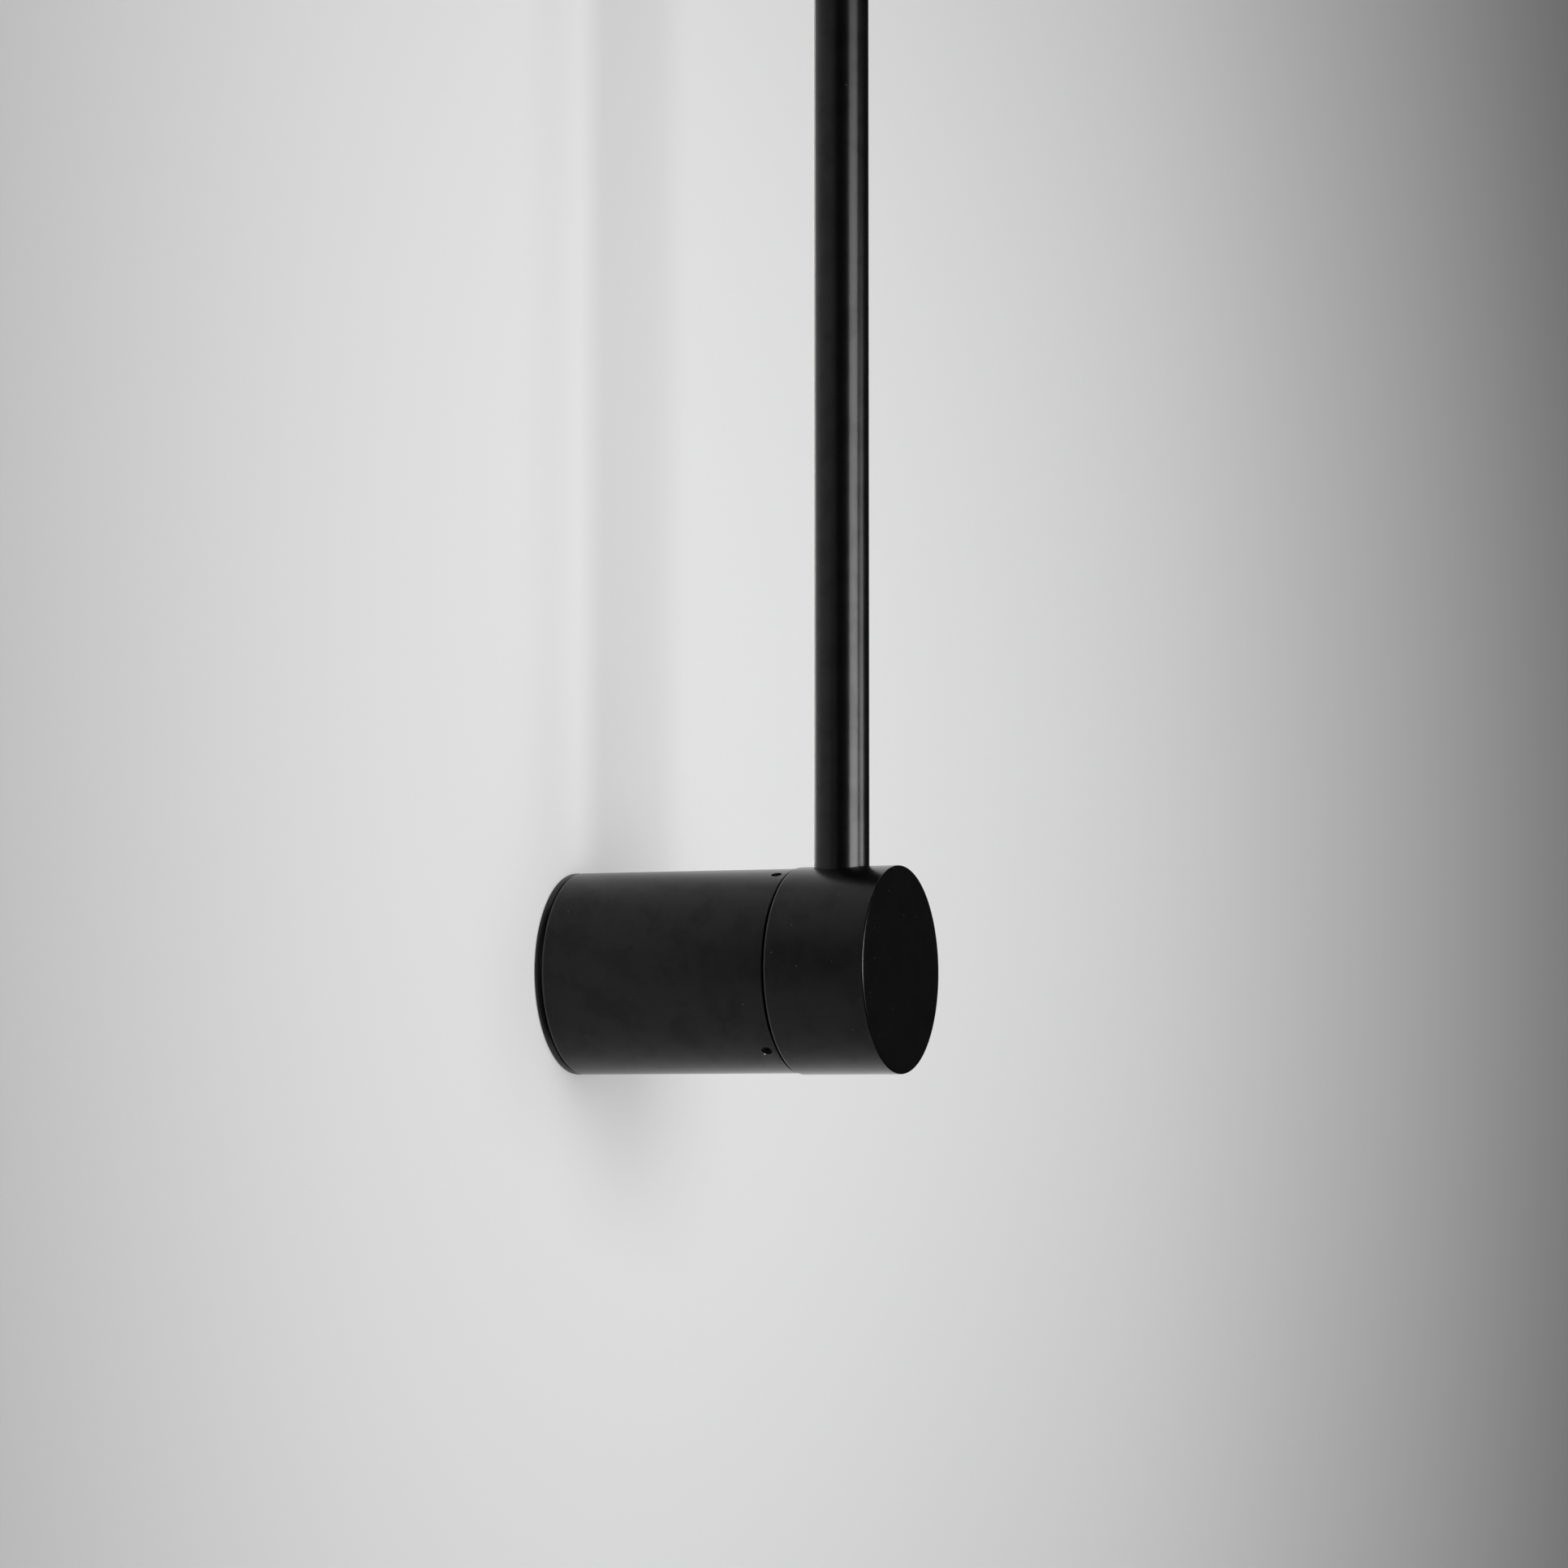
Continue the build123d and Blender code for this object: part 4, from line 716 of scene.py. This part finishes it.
MATERIALS["white_board"] = two_tone("white_solder_mask", "#ecebe6", "#e2dccb", tracks, 0.35)
MATERIALS["led_phosphor"] = two_tone("led_phosphor", "#eeeeea", "#e0b93a", windows, 0.45)
print("finishes", sorted(MATERIALS))

# %% [markdown]
# The CAD nodes already have the right shapes inside, so they stay, and only take their better finish. Which
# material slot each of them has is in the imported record.

# %% Dress the CAD nodes
slot_of = {part["node"]: part["material_slot"] for part in frame["record"]["subparts"]}
body_of = {node: body for body, nodes in frame["record"]["behaviour"]["bodies"].items() for node in nodes}
for node, part in frame["nodes"].items():
    part.data.materials.clear()
    part.data.materials.append(MATERIALS[slot_of[node]])
print("dressed", len(frame["nodes"]), "nodes")

# %% [markdown]
# ## Pieces
#
# Most visible pieces are turned parts. A turned part could be spun from its profile; here a circle is
# extruded ring by ring along the profile instead, which is the same form and keeps every ring on a size of
# the drawing. An open end is closed with one flat face, and a ring-shaped part is closed by bridging its
# first ring to its last. A rounded rim is a few more rings on an arc.

# %% Turning
def in_edit(piece):
    """Opens one piece in edit mode with nothing selected."""
    only(piece)
    bpy.ops.object.mode_set(mode="EDIT")
    bpy.ops.mesh.select_mode(type="VERT")
    bpy.ops.mesh.select_all(action="DESELECT")


def tidy(piece):
    """Merges doubles and turns every face outwards."""
    in_edit(piece)
    bpy.ops.mesh.select_all(action="SELECT")
    bpy.ops.mesh.remove_doubles(threshold=0.0005 * MM)
    bpy.ops.mesh.normals_make_consistent(inside=False)
    bpy.ops.object.mode_set(mode="OBJECT")


def turn(name, profile, sides=96, ring=False):
    """A turned part on the swivel axis. The profile is a list of (radius, depth) in millimetres."""
    radius, depth = profile[0]
    bpy.ops.object.select_all(action="DESELECT")
    bpy.ops.mesh.primitive_circle_add(vertices=sides, radius=radius * MM, location=at(0, depth, 0),
                                      rotation=(math.pi / 2, 0, 0))
    piece = newest(name)
    in_edit(piece)
    bpy.ops.mesh.select_all(action="SELECT")
    for new_radius, new_depth in profile[1:]:
        grow_ring(new_radius / radius, (0, (depth - new_depth) * MM, 0), at(0, new_depth, 0))
        radius, depth = new_radius, new_depth
    bpy.ops.mesh.select_mode(type="EDGE")
    bpy.ops.mesh.select_all(action="DESELECT")
    bpy.ops.mesh.select_non_manifold()
    if ring:
        bpy.ops.mesh.bridge_edge_loops()
    else:
        bpy.ops.mesh.fill_holes(sides=0)
    bpy.ops.object.mode_set(mode="OBJECT")
    tidy(piece)
    return piece


def arc(radius, depth, size, start, end, steps=5):
    """Profile points of a rounded rim at a radius and depth, from one angle to another; 0 is outwards."""
    middle = depth - size if end > 0 else depth + size
    angles = [math.radians(start + (end - start) * i / steps) for i in range(steps + 1)]
    return [(radius - size + size * math.cos(a), middle + size * math.sin(a)) for a in angles]


# %% [markdown]
# Holes are cut with the boolean modifier, by tools that are used up. Tools and posts are round bars and
# boxes, laid where the drawing has them. Real edges are never quite sharp, so a small bevel goes round them,
# and it is the bevel that catches the light.

# %% Bars, boxes, booleans and bevels
def bar(radius, length, place, direction, sides=48, name="tool"):
    """A round bar in millimetres from a place, along a direction."""
    middle = Vector(place) + Vector(direction).normalized() * length * MM / 2
    bpy.ops.object.select_all(action="DESELECT")
    bpy.ops.mesh.primitive_cylinder_add(vertices=sides, radius=radius * MM, depth=length * MM,
                                        location=middle,
                                        rotation=Vector(direction).to_track_quat("Z", "Y").to_euler())
    return newest(name)


def block(low, high):
    """A box between two corners given as x, depth and z in millimetres."""
    a, b = Vector(at(*low)), Vector(at(*high))
    bpy.ops.object.select_all(action="DESELECT")
    bpy.ops.mesh.primitive_cube_add(size=1, location=(a + b) / 2, scale=[abs(c) for c in b - a])
    return newest("tool")


def apply_modifier(piece, modifier):
    """Applies one modifier."""
    only(piece)
    bpy.ops.object.modifier_apply(modifier=modifier.name)


def combine(piece, tool, how="DIFFERENCE"):
    """Boolean of a piece and a tool; the tool is used up."""
    modifier = piece.modifiers.new("cut", "BOOLEAN")
    modifier.operation, modifier.solver, modifier.object = how, "EXACT", tool
    apply_modifier(piece, modifier)
    bpy.data.meshes.remove(tool.data)


def ease(piece, width, segments=2, limit=30):
    """A small bevel on every edge sharper than the limit in degrees."""
    modifier = piece.modifiers.new("edges", "BEVEL")
    modifier.width, modifier.segments, modifier.angle_limit = width * MM, segments, math.radians(limit)
    modifier.limit_method = "ANGLE"
    apply_modifier(piece, modifier)


# %% [markdown]
# What repeats is made once and copied, each copy with its own mesh, and then moved or turned round the axis.
# A finished piece gets smooth shading, with normals that lean towards the large faces, so that a flat face
# stays flat up to its bevel. It takes the finish and the body of the node that it stands for.

# %% Copies and finished pieces
SHARP = math.radians(30)


def pick(piece, test):
    """Selects the vertices whose place in millimetres passes the test, and comes back to edit mode."""
    bpy.ops.object.mode_set(mode="OBJECT")
    for vertex in piece.data.vertices:
        vertex.select = test(vertex.co / MM)
    for part in (*piece.data.edges, *piece.data.polygons):
        part.select = all(piece.data.vertices[i].select for i in part.vertices)
    bpy.ops.object.mode_set(mode="EDIT")


def placed(piece, place=(0, 0, 0), angle=0):
    """Moves a piece, turns it round the swivel axis from +X towards +Z, and puts both into its mesh."""
    only(piece)
    piece.location = place
    piece.rotation_euler = (0, -math.radians(angle), 0)
    bpy.ops.object.transform_apply(location=True, rotation=True, scale=True)
    return piece


def copies(piece, count):
    """So many of a piece, each with a mesh of its own. The first is the piece itself."""
    pieces = [piece]
    while len(pieces) < count:
        other = piece.copy()
        other.data = piece.data.copy()
        bpy.context.collection.objects.link(other)
        pieces.append(other)
    return pieces


def join(pieces, name):
    """One object from several."""
    only(pieces[0])
    for piece in pieces:
        piece.select_set(True)
    bpy.ops.object.join()
    pieces[0].name = pieces[0].data.name = name
    return pieces[0]


def finish_piece(piece, node):
    """Smooth shading, the node's finish and its body; hides the node and prints how far the piece's box
    differs from it.
    """
    only(piece)
    bpy.ops.object.shade_smooth_by_angle(angle=SHARP)
    normals = piece.modifiers.new("normals", "WEIGHTED_NORMAL")
    normals.keep_sharp = True
    apply_modifier(piece, normals)
    piece.data.materials.clear()
    piece.data.materials.append(MATERIALS[slot_of[node]])
    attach(piece, body_of[node])
    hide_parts(node)
    low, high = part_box(node)
    own = list(zip(*piece.bound_box))
    gap = max(max(abs(min(own[i]) - low[i]), abs(max(own[i]) - high[i])) for i in range(3))
    print(piece.name, "faces", len(piece.data.polygons), "differs from its node by", round(gap / MM, 3), "mm")


# %% [markdown]
# **Base drum.** On the real light this is a length of extruded tube, turned to length, with a rounded back
# rim and a front rim that slopes a little towards the seam. Inside run three C-shaped screw ports. The
# sleeve is turned, and the ports are posts joined to it and then drilled and slit.

# %% Base drum
DRUM_R, DRUM_BORE, DRUM_REAR, DRUM_FRONT = 30.0, 28.0, 2.2, 72.2
REAR_ROUND = 0.45
FRONT_SLOPE, FRONT_SLOPE_L = 0.15, 0.35
PORT_ANGLES = (52, 172, 292)
PORT_CIRCLE, PORT_R, PORT_HOLE, PORT_END = 25.0, 3.4, 1.5, 61.6
SLIT_HALF_W = 0.6
INTO_ROOM = (0, -1, 0)

drum = turn("base_drum", [
    (DRUM_BORE, DRUM_REAR), *arc(DRUM_R, DRUM_REAR, REAR_ROUND, -90, 0), (DRUM_R, DRUM_FRONT - FRONT_SLOPE_L),
    (DRUM_R - FRONT_SLOPE, DRUM_FRONT), (DRUM_BORE, DRUM_FRONT)], sides=240, ring=True)
print("sleeve", len(drum.data.polygons), "faces")
for angle in PORT_ANGLES:
    post = bar(PORT_R, PORT_END - DRUM_REAR, around(angle, PORT_CIRCLE, DRUM_REAR), INTO_ROOM)
    combine(drum, post, "UNION")
for angle in PORT_ANGLES:
    combine(drum, bar(PORT_HOLE, PORT_END, around(angle, PORT_CIRCLE, 0), INTO_ROOM, 32))
    slit = block((PORT_CIRCLE - PORT_R - 1, 0, -SLIT_HALF_W), (PORT_CIRCLE, PORT_END + 1, SLIT_HALF_W))
    combine(drum, placed(slit, angle=angle))
print("drum with ports", len(drum.data.polygons), "faces")

# %% [markdown]
# Three holes for the grub screws go through the drum's wall near the front. A cone opens the mouth of each,
# as a deburring tool does.

# %% Grub holes
GRUB_ANGLES = (112, 232, 352)
GRUB_DEPTH, GRUB_R, GRUB_SIDES = 69.1, 1.5, 40
BIT_BACK, BIT_L = 2, 6  # the drill starts inside the bore
MOUTH = 0.12
CONE_IN, CONE_OUT = 0.22, 0.38


def cone(radius, place, direction):
    """A cone tool that has the radius at its place and widens at 45 degrees."""
    middle = Vector(place) + Vector(direction).normalized() * (CONE_OUT - CONE_IN) * MM / 2
    bpy.ops.object.select_all(action="DESELECT")
    bpy.ops.mesh.primitive_cone_add(vertices=GRUB_SIDES, radius1=(radius - CONE_IN) * MM,
                                    radius2=(radius + CONE_OUT) * MM, depth=(CONE_IN + CONE_OUT) * MM,
                                    location=middle,
                                    rotation=Vector(direction).to_track_quat("Z", "Y").to_euler())
    return newest("tool")


for angle in GRUB_ANGLES:
    outward = around(angle, 1, 0)
    combine(drum, bar(GRUB_R, BIT_L, around(angle, DRUM_BORE - BIT_BACK, GRUB_DEPTH), outward, GRUB_SIDES))
    combine(drum, cone(GRUB_R + MOUTH, around(angle, DRUM_R, GRUB_DEPTH), outward))
finish_piece(drum, "base_housing")

# %% [markdown]
# **Grub screws.** M3 screws with no head, driven by a hexagon key, that lock the bulkhead in the drum. One
# is made at +X: a short bar, a bevel round its ends, and a six-sided bar as the tool for the socket. The
# other two are copies, turned round to their holes.

# %% Grub screws
GRUB_TIP, GRUB_END = 26.45, 29.55
THREAD_R = 1.48
SOCKET_CORNER_R, SOCKET_DEPTH = 0.866, 1.5
OUTWARDS = (1, 0, 0)

first = bar(THREAD_R, GRUB_END - GRUB_TIP, at(GRUB_TIP, GRUB_DEPTH, 0), OUTWARDS, name="grub")
ease(first, 0.15)
socket = bar(SOCKET_CORNER_R, SOCKET_DEPTH + 1, at(GRUB_END - SOCKET_DEPTH, GRUB_DEPTH, 0), OUTWARDS, 6)
combine(first, socket)
grubs = copies(first, len(GRUB_ANGLES))
for grub, angle in zip(grubs, GRUB_ANGLES):
    placed(grub, angle=angle)
finish_piece(join(grubs, "socket_grub_screws"), "grub_screws")

# %% [markdown]
# **Wall plate.** A turned steel disc with a sloped rim, whose narrower land carries the drum, so that a thin
# dark line shows between the two. From behind it has a cable hole, two slots for the wall screws and three
# countersunk holes. The slot's tool is a round bar whose upper half is moved up in edit mode.

# %% Wall plate
PLATE_R, LAND_R, RIM_T, PLATE_T = 30.0, 29.2, 1.8, 2.2
RIM_EDGE, RIM_SLOPE = 0.8, 0.45
CABLE_HOLE_R = 7.0
SLOT_W, SLOT_L, SLOT_SPACING = 4.5, 10.0, 40.0
SINK_R, CLEAR_R = 3.0, 1.7
SINK_BACK, SINK_END = 1, 5  # the countersink's tool, from behind the plate to its front
SMALL_HOLES = [(15.0, 5.0, 1.5), (15.0, -5.0, 1.5), (-15.0, 4.0, 1.0)]  # x, z, radius
BEHIND, THROUGH = 3, 8  # a drill starts behind the plate and goes through it


def drill(x, z, radius, sides):
    """A tool through the plate."""
    return bar(radius, THROUGH, at(x, -BEHIND, z), INTO_ROOM, sides)


plate = turn("wall_disc", [(PLATE_R, 0), (PLATE_R, RIM_EDGE), (PLATE_R - RIM_SLOPE, RIM_T), (LAND_R, RIM_T),
                           (LAND_R, PLATE_T)], sides=240)
ease(plate, 0.12)
combine(plate, drill(0, 0, CABLE_HOLE_R, 96))
for side in (1, -1):
    slot_low = side * SLOT_SPACING / 2 - (SLOT_L - SLOT_W) / 2
    tool = drill(0, slot_low, SLOT_W / 2, 48)
    in_edit(tool)
    pick(tool, lambda co: co.z > slot_low - 0.01)
    bpy.ops.transform.translate(value=(0, 0, (SLOT_L - SLOT_W) * MM))
    bpy.ops.object.mode_set(mode="OBJECT")
    combine(plate, tool)
for x, z, radius in SMALL_HOLES:
    combine(plate, drill(x, z, radius, 32))
for angle in PORT_ANGLES:
    sink = turn("tool", [(SINK_R + SINK_BACK, -SINK_BACK), (SINK_R, 0), (CLEAR_R, SINK_R - CLEAR_R),
                         (CLEAR_R, SINK_END)], 48)
    combine(plate, placed(sink, around(angle, PORT_CIRCLE, 0)))
finish_piece(plate, "wall_plate")

# %% [markdown]
# **Plate screws.** Three countersunk M3 screws with a cross recess, which shows at the back. A turned
# profile gives head and shank; the cross is cut by two thin blocks whose inner ends are narrowed in edit
# mode, because the real recess tapers. The thread is left out: it is hidden in its port.

# %% Plate screws
FACE, HEAD_EDGE, HEAD_L = 0.1, 0.08, 1.5  # the head's face from the wall, its thin edge, its whole depth
SCREW_HEAD_R, NECK_R, NECK_L, TIP_R, TIP_L = 2.85, 1.5, 0.07, 1.1, 0.4
SHANK_END = 9.5
RECESS_DEPTH, RECESS_HALF_L, RECESS_HALF_W = 1.5, 1.35, 0.31
NARROW_L, NARROW_W = 0.45, 0.6  # what is left of the recess's length and width at its bottom

screw = turn("screw", [
    (SCREW_HEAD_R, FACE), (SCREW_HEAD_R, FACE + HEAD_EDGE), (NECK_R, FACE + HEAD_L - NECK_L),
    (THREAD_R, FACE + HEAD_L), (THREAD_R, SHANK_END - TIP_L), (TIP_R, SHANK_END)], 48)
ease(screw, 0.05)
for wide, tall in ((RECESS_HALF_L, RECESS_HALF_W), (RECESS_HALF_W, RECESS_HALF_L)):
    tool = block((-wide, -1, -tall), (wide, FACE + RECESS_DEPTH, tall))
    in_edit(tool)
    pick(tool, lambda co: co.y < 0)
    narrow = (NARROW_L, 1, NARROW_W) if wide > tall else (NARROW_W, 1, NARROW_L)
    bpy.ops.transform.resize(value=narrow, center_override=(0, 0, 0))
    bpy.ops.object.mode_set(mode="OBJECT")
    combine(screw, tool)
screws = copies(screw, len(PORT_ANGLES))
for item, angle in zip(screws, PORT_ANGLES):
    placed(item, (PORT_CIRCLE * MM, 0, 0))
    placed(item, angle=angle)
finish_piece(join(screws, "cross_recess_screws"), "plate_screws")

# %% [markdown]
# **Grommet.** A rubber ring with a flange inside the plate. Its lips are round, so its bevel is wide for its
# size.

# %% Grommet
GROMMET_BORE, GROMMET_R, FLANGE_R, FLANGE_TOP_R = 3.5, 6.95, 9.5, 8.9
GROMMET_REAR, FLANGE_REAR, FLANGE_FRONT = 0.2, 2.2, 4.0

grommet = turn("rubber_grommet", [
    (GROMMET_BORE, GROMMET_REAR), (GROMMET_R, GROMMET_REAR), (GROMMET_R, FLANGE_REAR),
    (FLANGE_R, FLANGE_REAR), (FLANGE_TOP_R, FLANGE_FRONT), (GROMMET_BORE, FLANGE_FRONT)], ring=True)
ease(grommet, 0.3, 3)
finish_piece(grommet, "cable_grommet")

# %% [markdown]
# **Head.** A closed cup, cast and then turned a little larger than the drum, so that it hides the seam's
# inner edge. Its back rim and the rim of its front face are rounded: the front one is the fine bright line
# in the photograph. Inside are three bosses and the saddle that the tube is screwed to, and a round hole in
# the side lets the tube in. Everything is fused with booleans, as the casting is one piece.

# %% Head
HEAD_R, HEAD_BORE = 30.4, 28.0
HEAD_REAR, HEAD_FRONT, FACE_T = 72.8, 103.8, 3.0
HEAD_REAR_ROUND, HEAD_FRONT_ROUND = 0.6, 0.5
BOSS_CIRCLE, BOSS_R, BOSS_ANGLES, BOSS_REAR = 16.0, 3.2, (30, 150, 270), 76.8
SADDLE_HALF_W, SADDLE_LOW, SADDLE_HIGH, SADDLE_REAR = 9.8, 10.0, 25.8, 87.0
INTO_FACE = 1  # bosses and saddle reach this far into the front face
TAP_R, TAP_L, TAP_BACK = 1.5, 13, 1  # the drill starts behind the boss
TUBE_R, TUBE_DEPTH, TUBE_BOTTOM = 8.0, 85.2, 10.0
TUBE_HOLE_R, TUBE_HOLE_L, HOLE_UNDER = 8.15, 30, 0.5
TUBE_SCREWS = (14.0, 22.0)
UP = (0, 0, 1)

head = turn("head_cup", [
    (HEAD_BORE, HEAD_FRONT - FACE_T), (HEAD_BORE, HEAD_REAR),
    *arc(HEAD_R, HEAD_REAR, HEAD_REAR_ROUND, -90, 0), *arc(HEAD_R, HEAD_FRONT, HEAD_FRONT_ROUND, 0, 90)],
    sides=256)
ease(head, 0.05)
boss_l = HEAD_FRONT - INTO_FACE - BOSS_REAR
for angle in BOSS_ANGLES:
    combine(head, bar(BOSS_R, boss_l, around(angle, BOSS_CIRCLE, BOSS_REAR), INTO_ROOM, 40), "UNION")
combine(head, block((-SADDLE_HALF_W, SADDLE_REAR, SADDLE_LOW),
                    (SADDLE_HALF_W, HEAD_FRONT - INTO_FACE, SADDLE_HIGH)), "UNION")
for angle in BOSS_ANGLES:
    combine(head, bar(TAP_R, TAP_L, around(angle, BOSS_CIRCLE, BOSS_REAR - TAP_BACK), INTO_ROOM, 24))
combine(head, bar(TUBE_HOLE_R, TUBE_HOLE_L, at(0, TUBE_DEPTH, TUBE_BOTTOM - HOLE_UNDER), UP, 160))
for height in TUBE_SCREWS:
    combine(head, bar(TAP_R, TAP_L, at(0, SADDLE_REAR - TAP_BACK, height), INTO_ROOM, 24))
finish_piece(head, "head_shell")

# %% [markdown]
# **Light tube.** An aluminium extrusion: a round wall with a slot that faces the wall, a flat web across it
# for the board and two low rails. A profile could be drawn as a curve and extruded; here a circle keeps only
# the vertices of the round wall, is extruded to the tube's length and gets its thickness inwards. A circle
# of 121 sides has a vertex five millimetres from its middle line on each side, which is where the lips of
# the slot end. Web and rails are long blocks joined to it.

# %% Round wall of the tube
TUBE_SIDES = 121
TUBE_TOP = 568.1
WALL_T, LIP = 1.2, 5.0
NEAR = 0.05  # a vertex counts as inside when it is this little outside


def to_wall(x, towards, z):
    """A point beside the tube's axis; towards is how far it lies towards the wall."""
    return at(x, TUBE_DEPTH - towards, z)


def extruded_arc(name, radius, sides, keep, low, high, thickness):
    """An arc of a circle round the tube's axis, extruded upwards and thickened inwards."""
    bpy.ops.object.select_all(action="DESELECT")
    bpy.ops.mesh.primitive_circle_add(vertices=sides, radius=radius * MM, location=to_wall(0, 0, low))
    piece = newest(name)
    in_edit(piece)
    pick(piece, lambda co: not keep(co.x, co.y + TUBE_DEPTH))
    bpy.ops.mesh.delete(type="VERT")
    bpy.ops.mesh.select_all(action="SELECT")
    bpy.ops.mesh.extrude_region_move(TRANSFORM_OT_translate={"value": (0, 0, (high - low) * MM)})
    bpy.ops.mesh.select_all(action="SELECT")
    bpy.ops.mesh.normals_make_consistent(inside=False)
    bpy.ops.object.mode_set(mode="OBJECT")
    face = piece.data.polygons[0]
    if (face.center - Vector(to_wall(0, 0, face.center.z / MM))).dot(face.normal) < 0:
        piece.data.flip_normals()
    solid = piece.modifiers.new("thickness", "SOLIDIFY")
    solid.thickness, solid.offset, solid.use_even_offset = thickness * MM, -1, True
    apply_modifier(piece, solid)
    return piece


tube = extruded_arc("round_tube", TUBE_R, TUBE_SIDES, lambda x, y: y < 0 or abs(x) > LIP - NEAR,
                    TUBE_BOTTOM, TUBE_TOP, WALL_T)
print("round wall", len(tube.data.polygons), "faces", [round(c / MM, 2) for c in tube.dimensions])
ease(tube, 0.1)

# %% [markdown]
# Each block ends just inside the tube's ends and runs a little into the metal that it joins, so that no two
# faces of a union lie in one plane.

# %% Web, rails and screw holes of the tube
WEB_T, INTO_WALL = 1.2, 0.25
RAIL_W, RAIL_H, RAIL_X, INTO_WEB = 0.7, 1.0, 4.45, 0.3
END = 0.02
CLEAR_TUBE_R, CLEAR_L = 1.55, 10


def slab(x, width, low_y, high_y, low, high):
    """A long block beside the tube's axis, from low_y to high_y towards the wall."""
    return block((x - width / 2, TUBE_DEPTH - low_y, low), (x + width / 2, TUBE_DEPTH - high_y, high))


web_w = 2 * (TUBE_R - WALL_T + INTO_WALL)
combine(tube, slab(0, web_w, -WEB_T, 0, TUBE_BOTTOM + END, TUBE_TOP - END), "UNION")
for side in (-1, 1):
    rail = slab(side * RAIL_X, RAIL_W, -INTO_WEB, RAIL_H, TUBE_BOTTOM + 2 * END, TUBE_TOP - 2 * END)
    combine(tube, rail, "UNION")
for height in TUBE_SCREWS:
    combine(tube, bar(CLEAR_TUBE_R, CLEAR_L, to_wall(0, 1, height), INTO_ROOM, 32))
finish_piece(tube, "light_tube")

# %% [markdown]
# **Opal cover.** A domed strip of opal acrylic that snaps into the slot: two legs reach in, and a barb on
# each holds behind the lip. The dome is an arc like the tube's, a little larger, so that its edge stands
# proud as the pale line beside the tube. The legs and barbs are long blocks joined to it.

# %% Opal cover
COVER_R, COVER_SIDES, COVER_HALF_W, COVER_T = 8.3, 199, 4.9, 1.0
COVER_BOTTOM = 30.5
LEG_X, LEG_T, LEG_END, LEG_ROOT = 4.44, 0.9, 3.2, 6.4
BARB_X, BARB_W, BARB_TOP = 4.8, 1.1, 4.0

cover = extruded_arc("opal_cover_strip", COVER_R, COVER_SIDES,
                     lambda x, y: y > 0 and abs(x) < COVER_HALF_W + NEAR, COVER_BOTTOM, TUBE_TOP, COVER_T)
ease(cover, 0.12)
for side in (-1, 1):
    leg = slab(side * LEG_X, LEG_T, LEG_END, LEG_ROOT, COVER_BOTTOM + END, TUBE_TOP - END)
    combine(cover, leg, "UNION")
    barb = slab(side * BARB_X, BARB_W, LEG_END + END, BARB_TOP, COVER_BOTTOM + 2 * END, TUBE_TOP - 2 * END)
    combine(cover, barb, "UNION")
finish_piece(cover, "diffuser")

# %% [markdown]
# **End cap.** A turned disc with the tube's own outline, drawn out a little over the cover, and a D-shaped
# plug below it. The plug is a round bar cut flat with bisect.

# %% End cap
CAP_TOP, CAP_EDGE = 569.6, 0.3
PLUG_R, PLUG_L, PLUG_FLAT, INTO_CAP = 6.75, 6.0, -1.25, 0.3

cap = bar(TUBE_R, CAP_TOP - TUBE_TOP, at(0, TUBE_DEPTH, TUBE_TOP), UP, TUBE_SIDES, "tube_cap")
in_edit(cap)
pick(cap, lambda co: co.y + TUBE_DEPTH > 0 and abs(co.x) < COVER_HALF_W + NEAR)
bpy.ops.transform.resize(value=(1, COVER_R / TUBE_R, 1), center_override=to_wall(0, 0, TUBE_TOP))
bpy.ops.object.mode_set(mode="OBJECT")
ease(cap, CAP_EDGE, 3, 50)
plug = bar(PLUG_R, PLUG_L + INTO_CAP, at(0, TUBE_DEPTH, TUBE_TOP - PLUG_L), UP, 80)
in_edit(plug)
bpy.ops.mesh.select_all(action="SELECT")
bpy.ops.mesh.bisect(plane_co=to_wall(0, PLUG_FLAT, 0), plane_no=(0, 1, 0), clear_outer=True, use_fill=True)
bpy.ops.object.mode_set(mode="OBJECT")
combine(cap, plug, "UNION")
finish_piece(cap, "tube_end_cap")
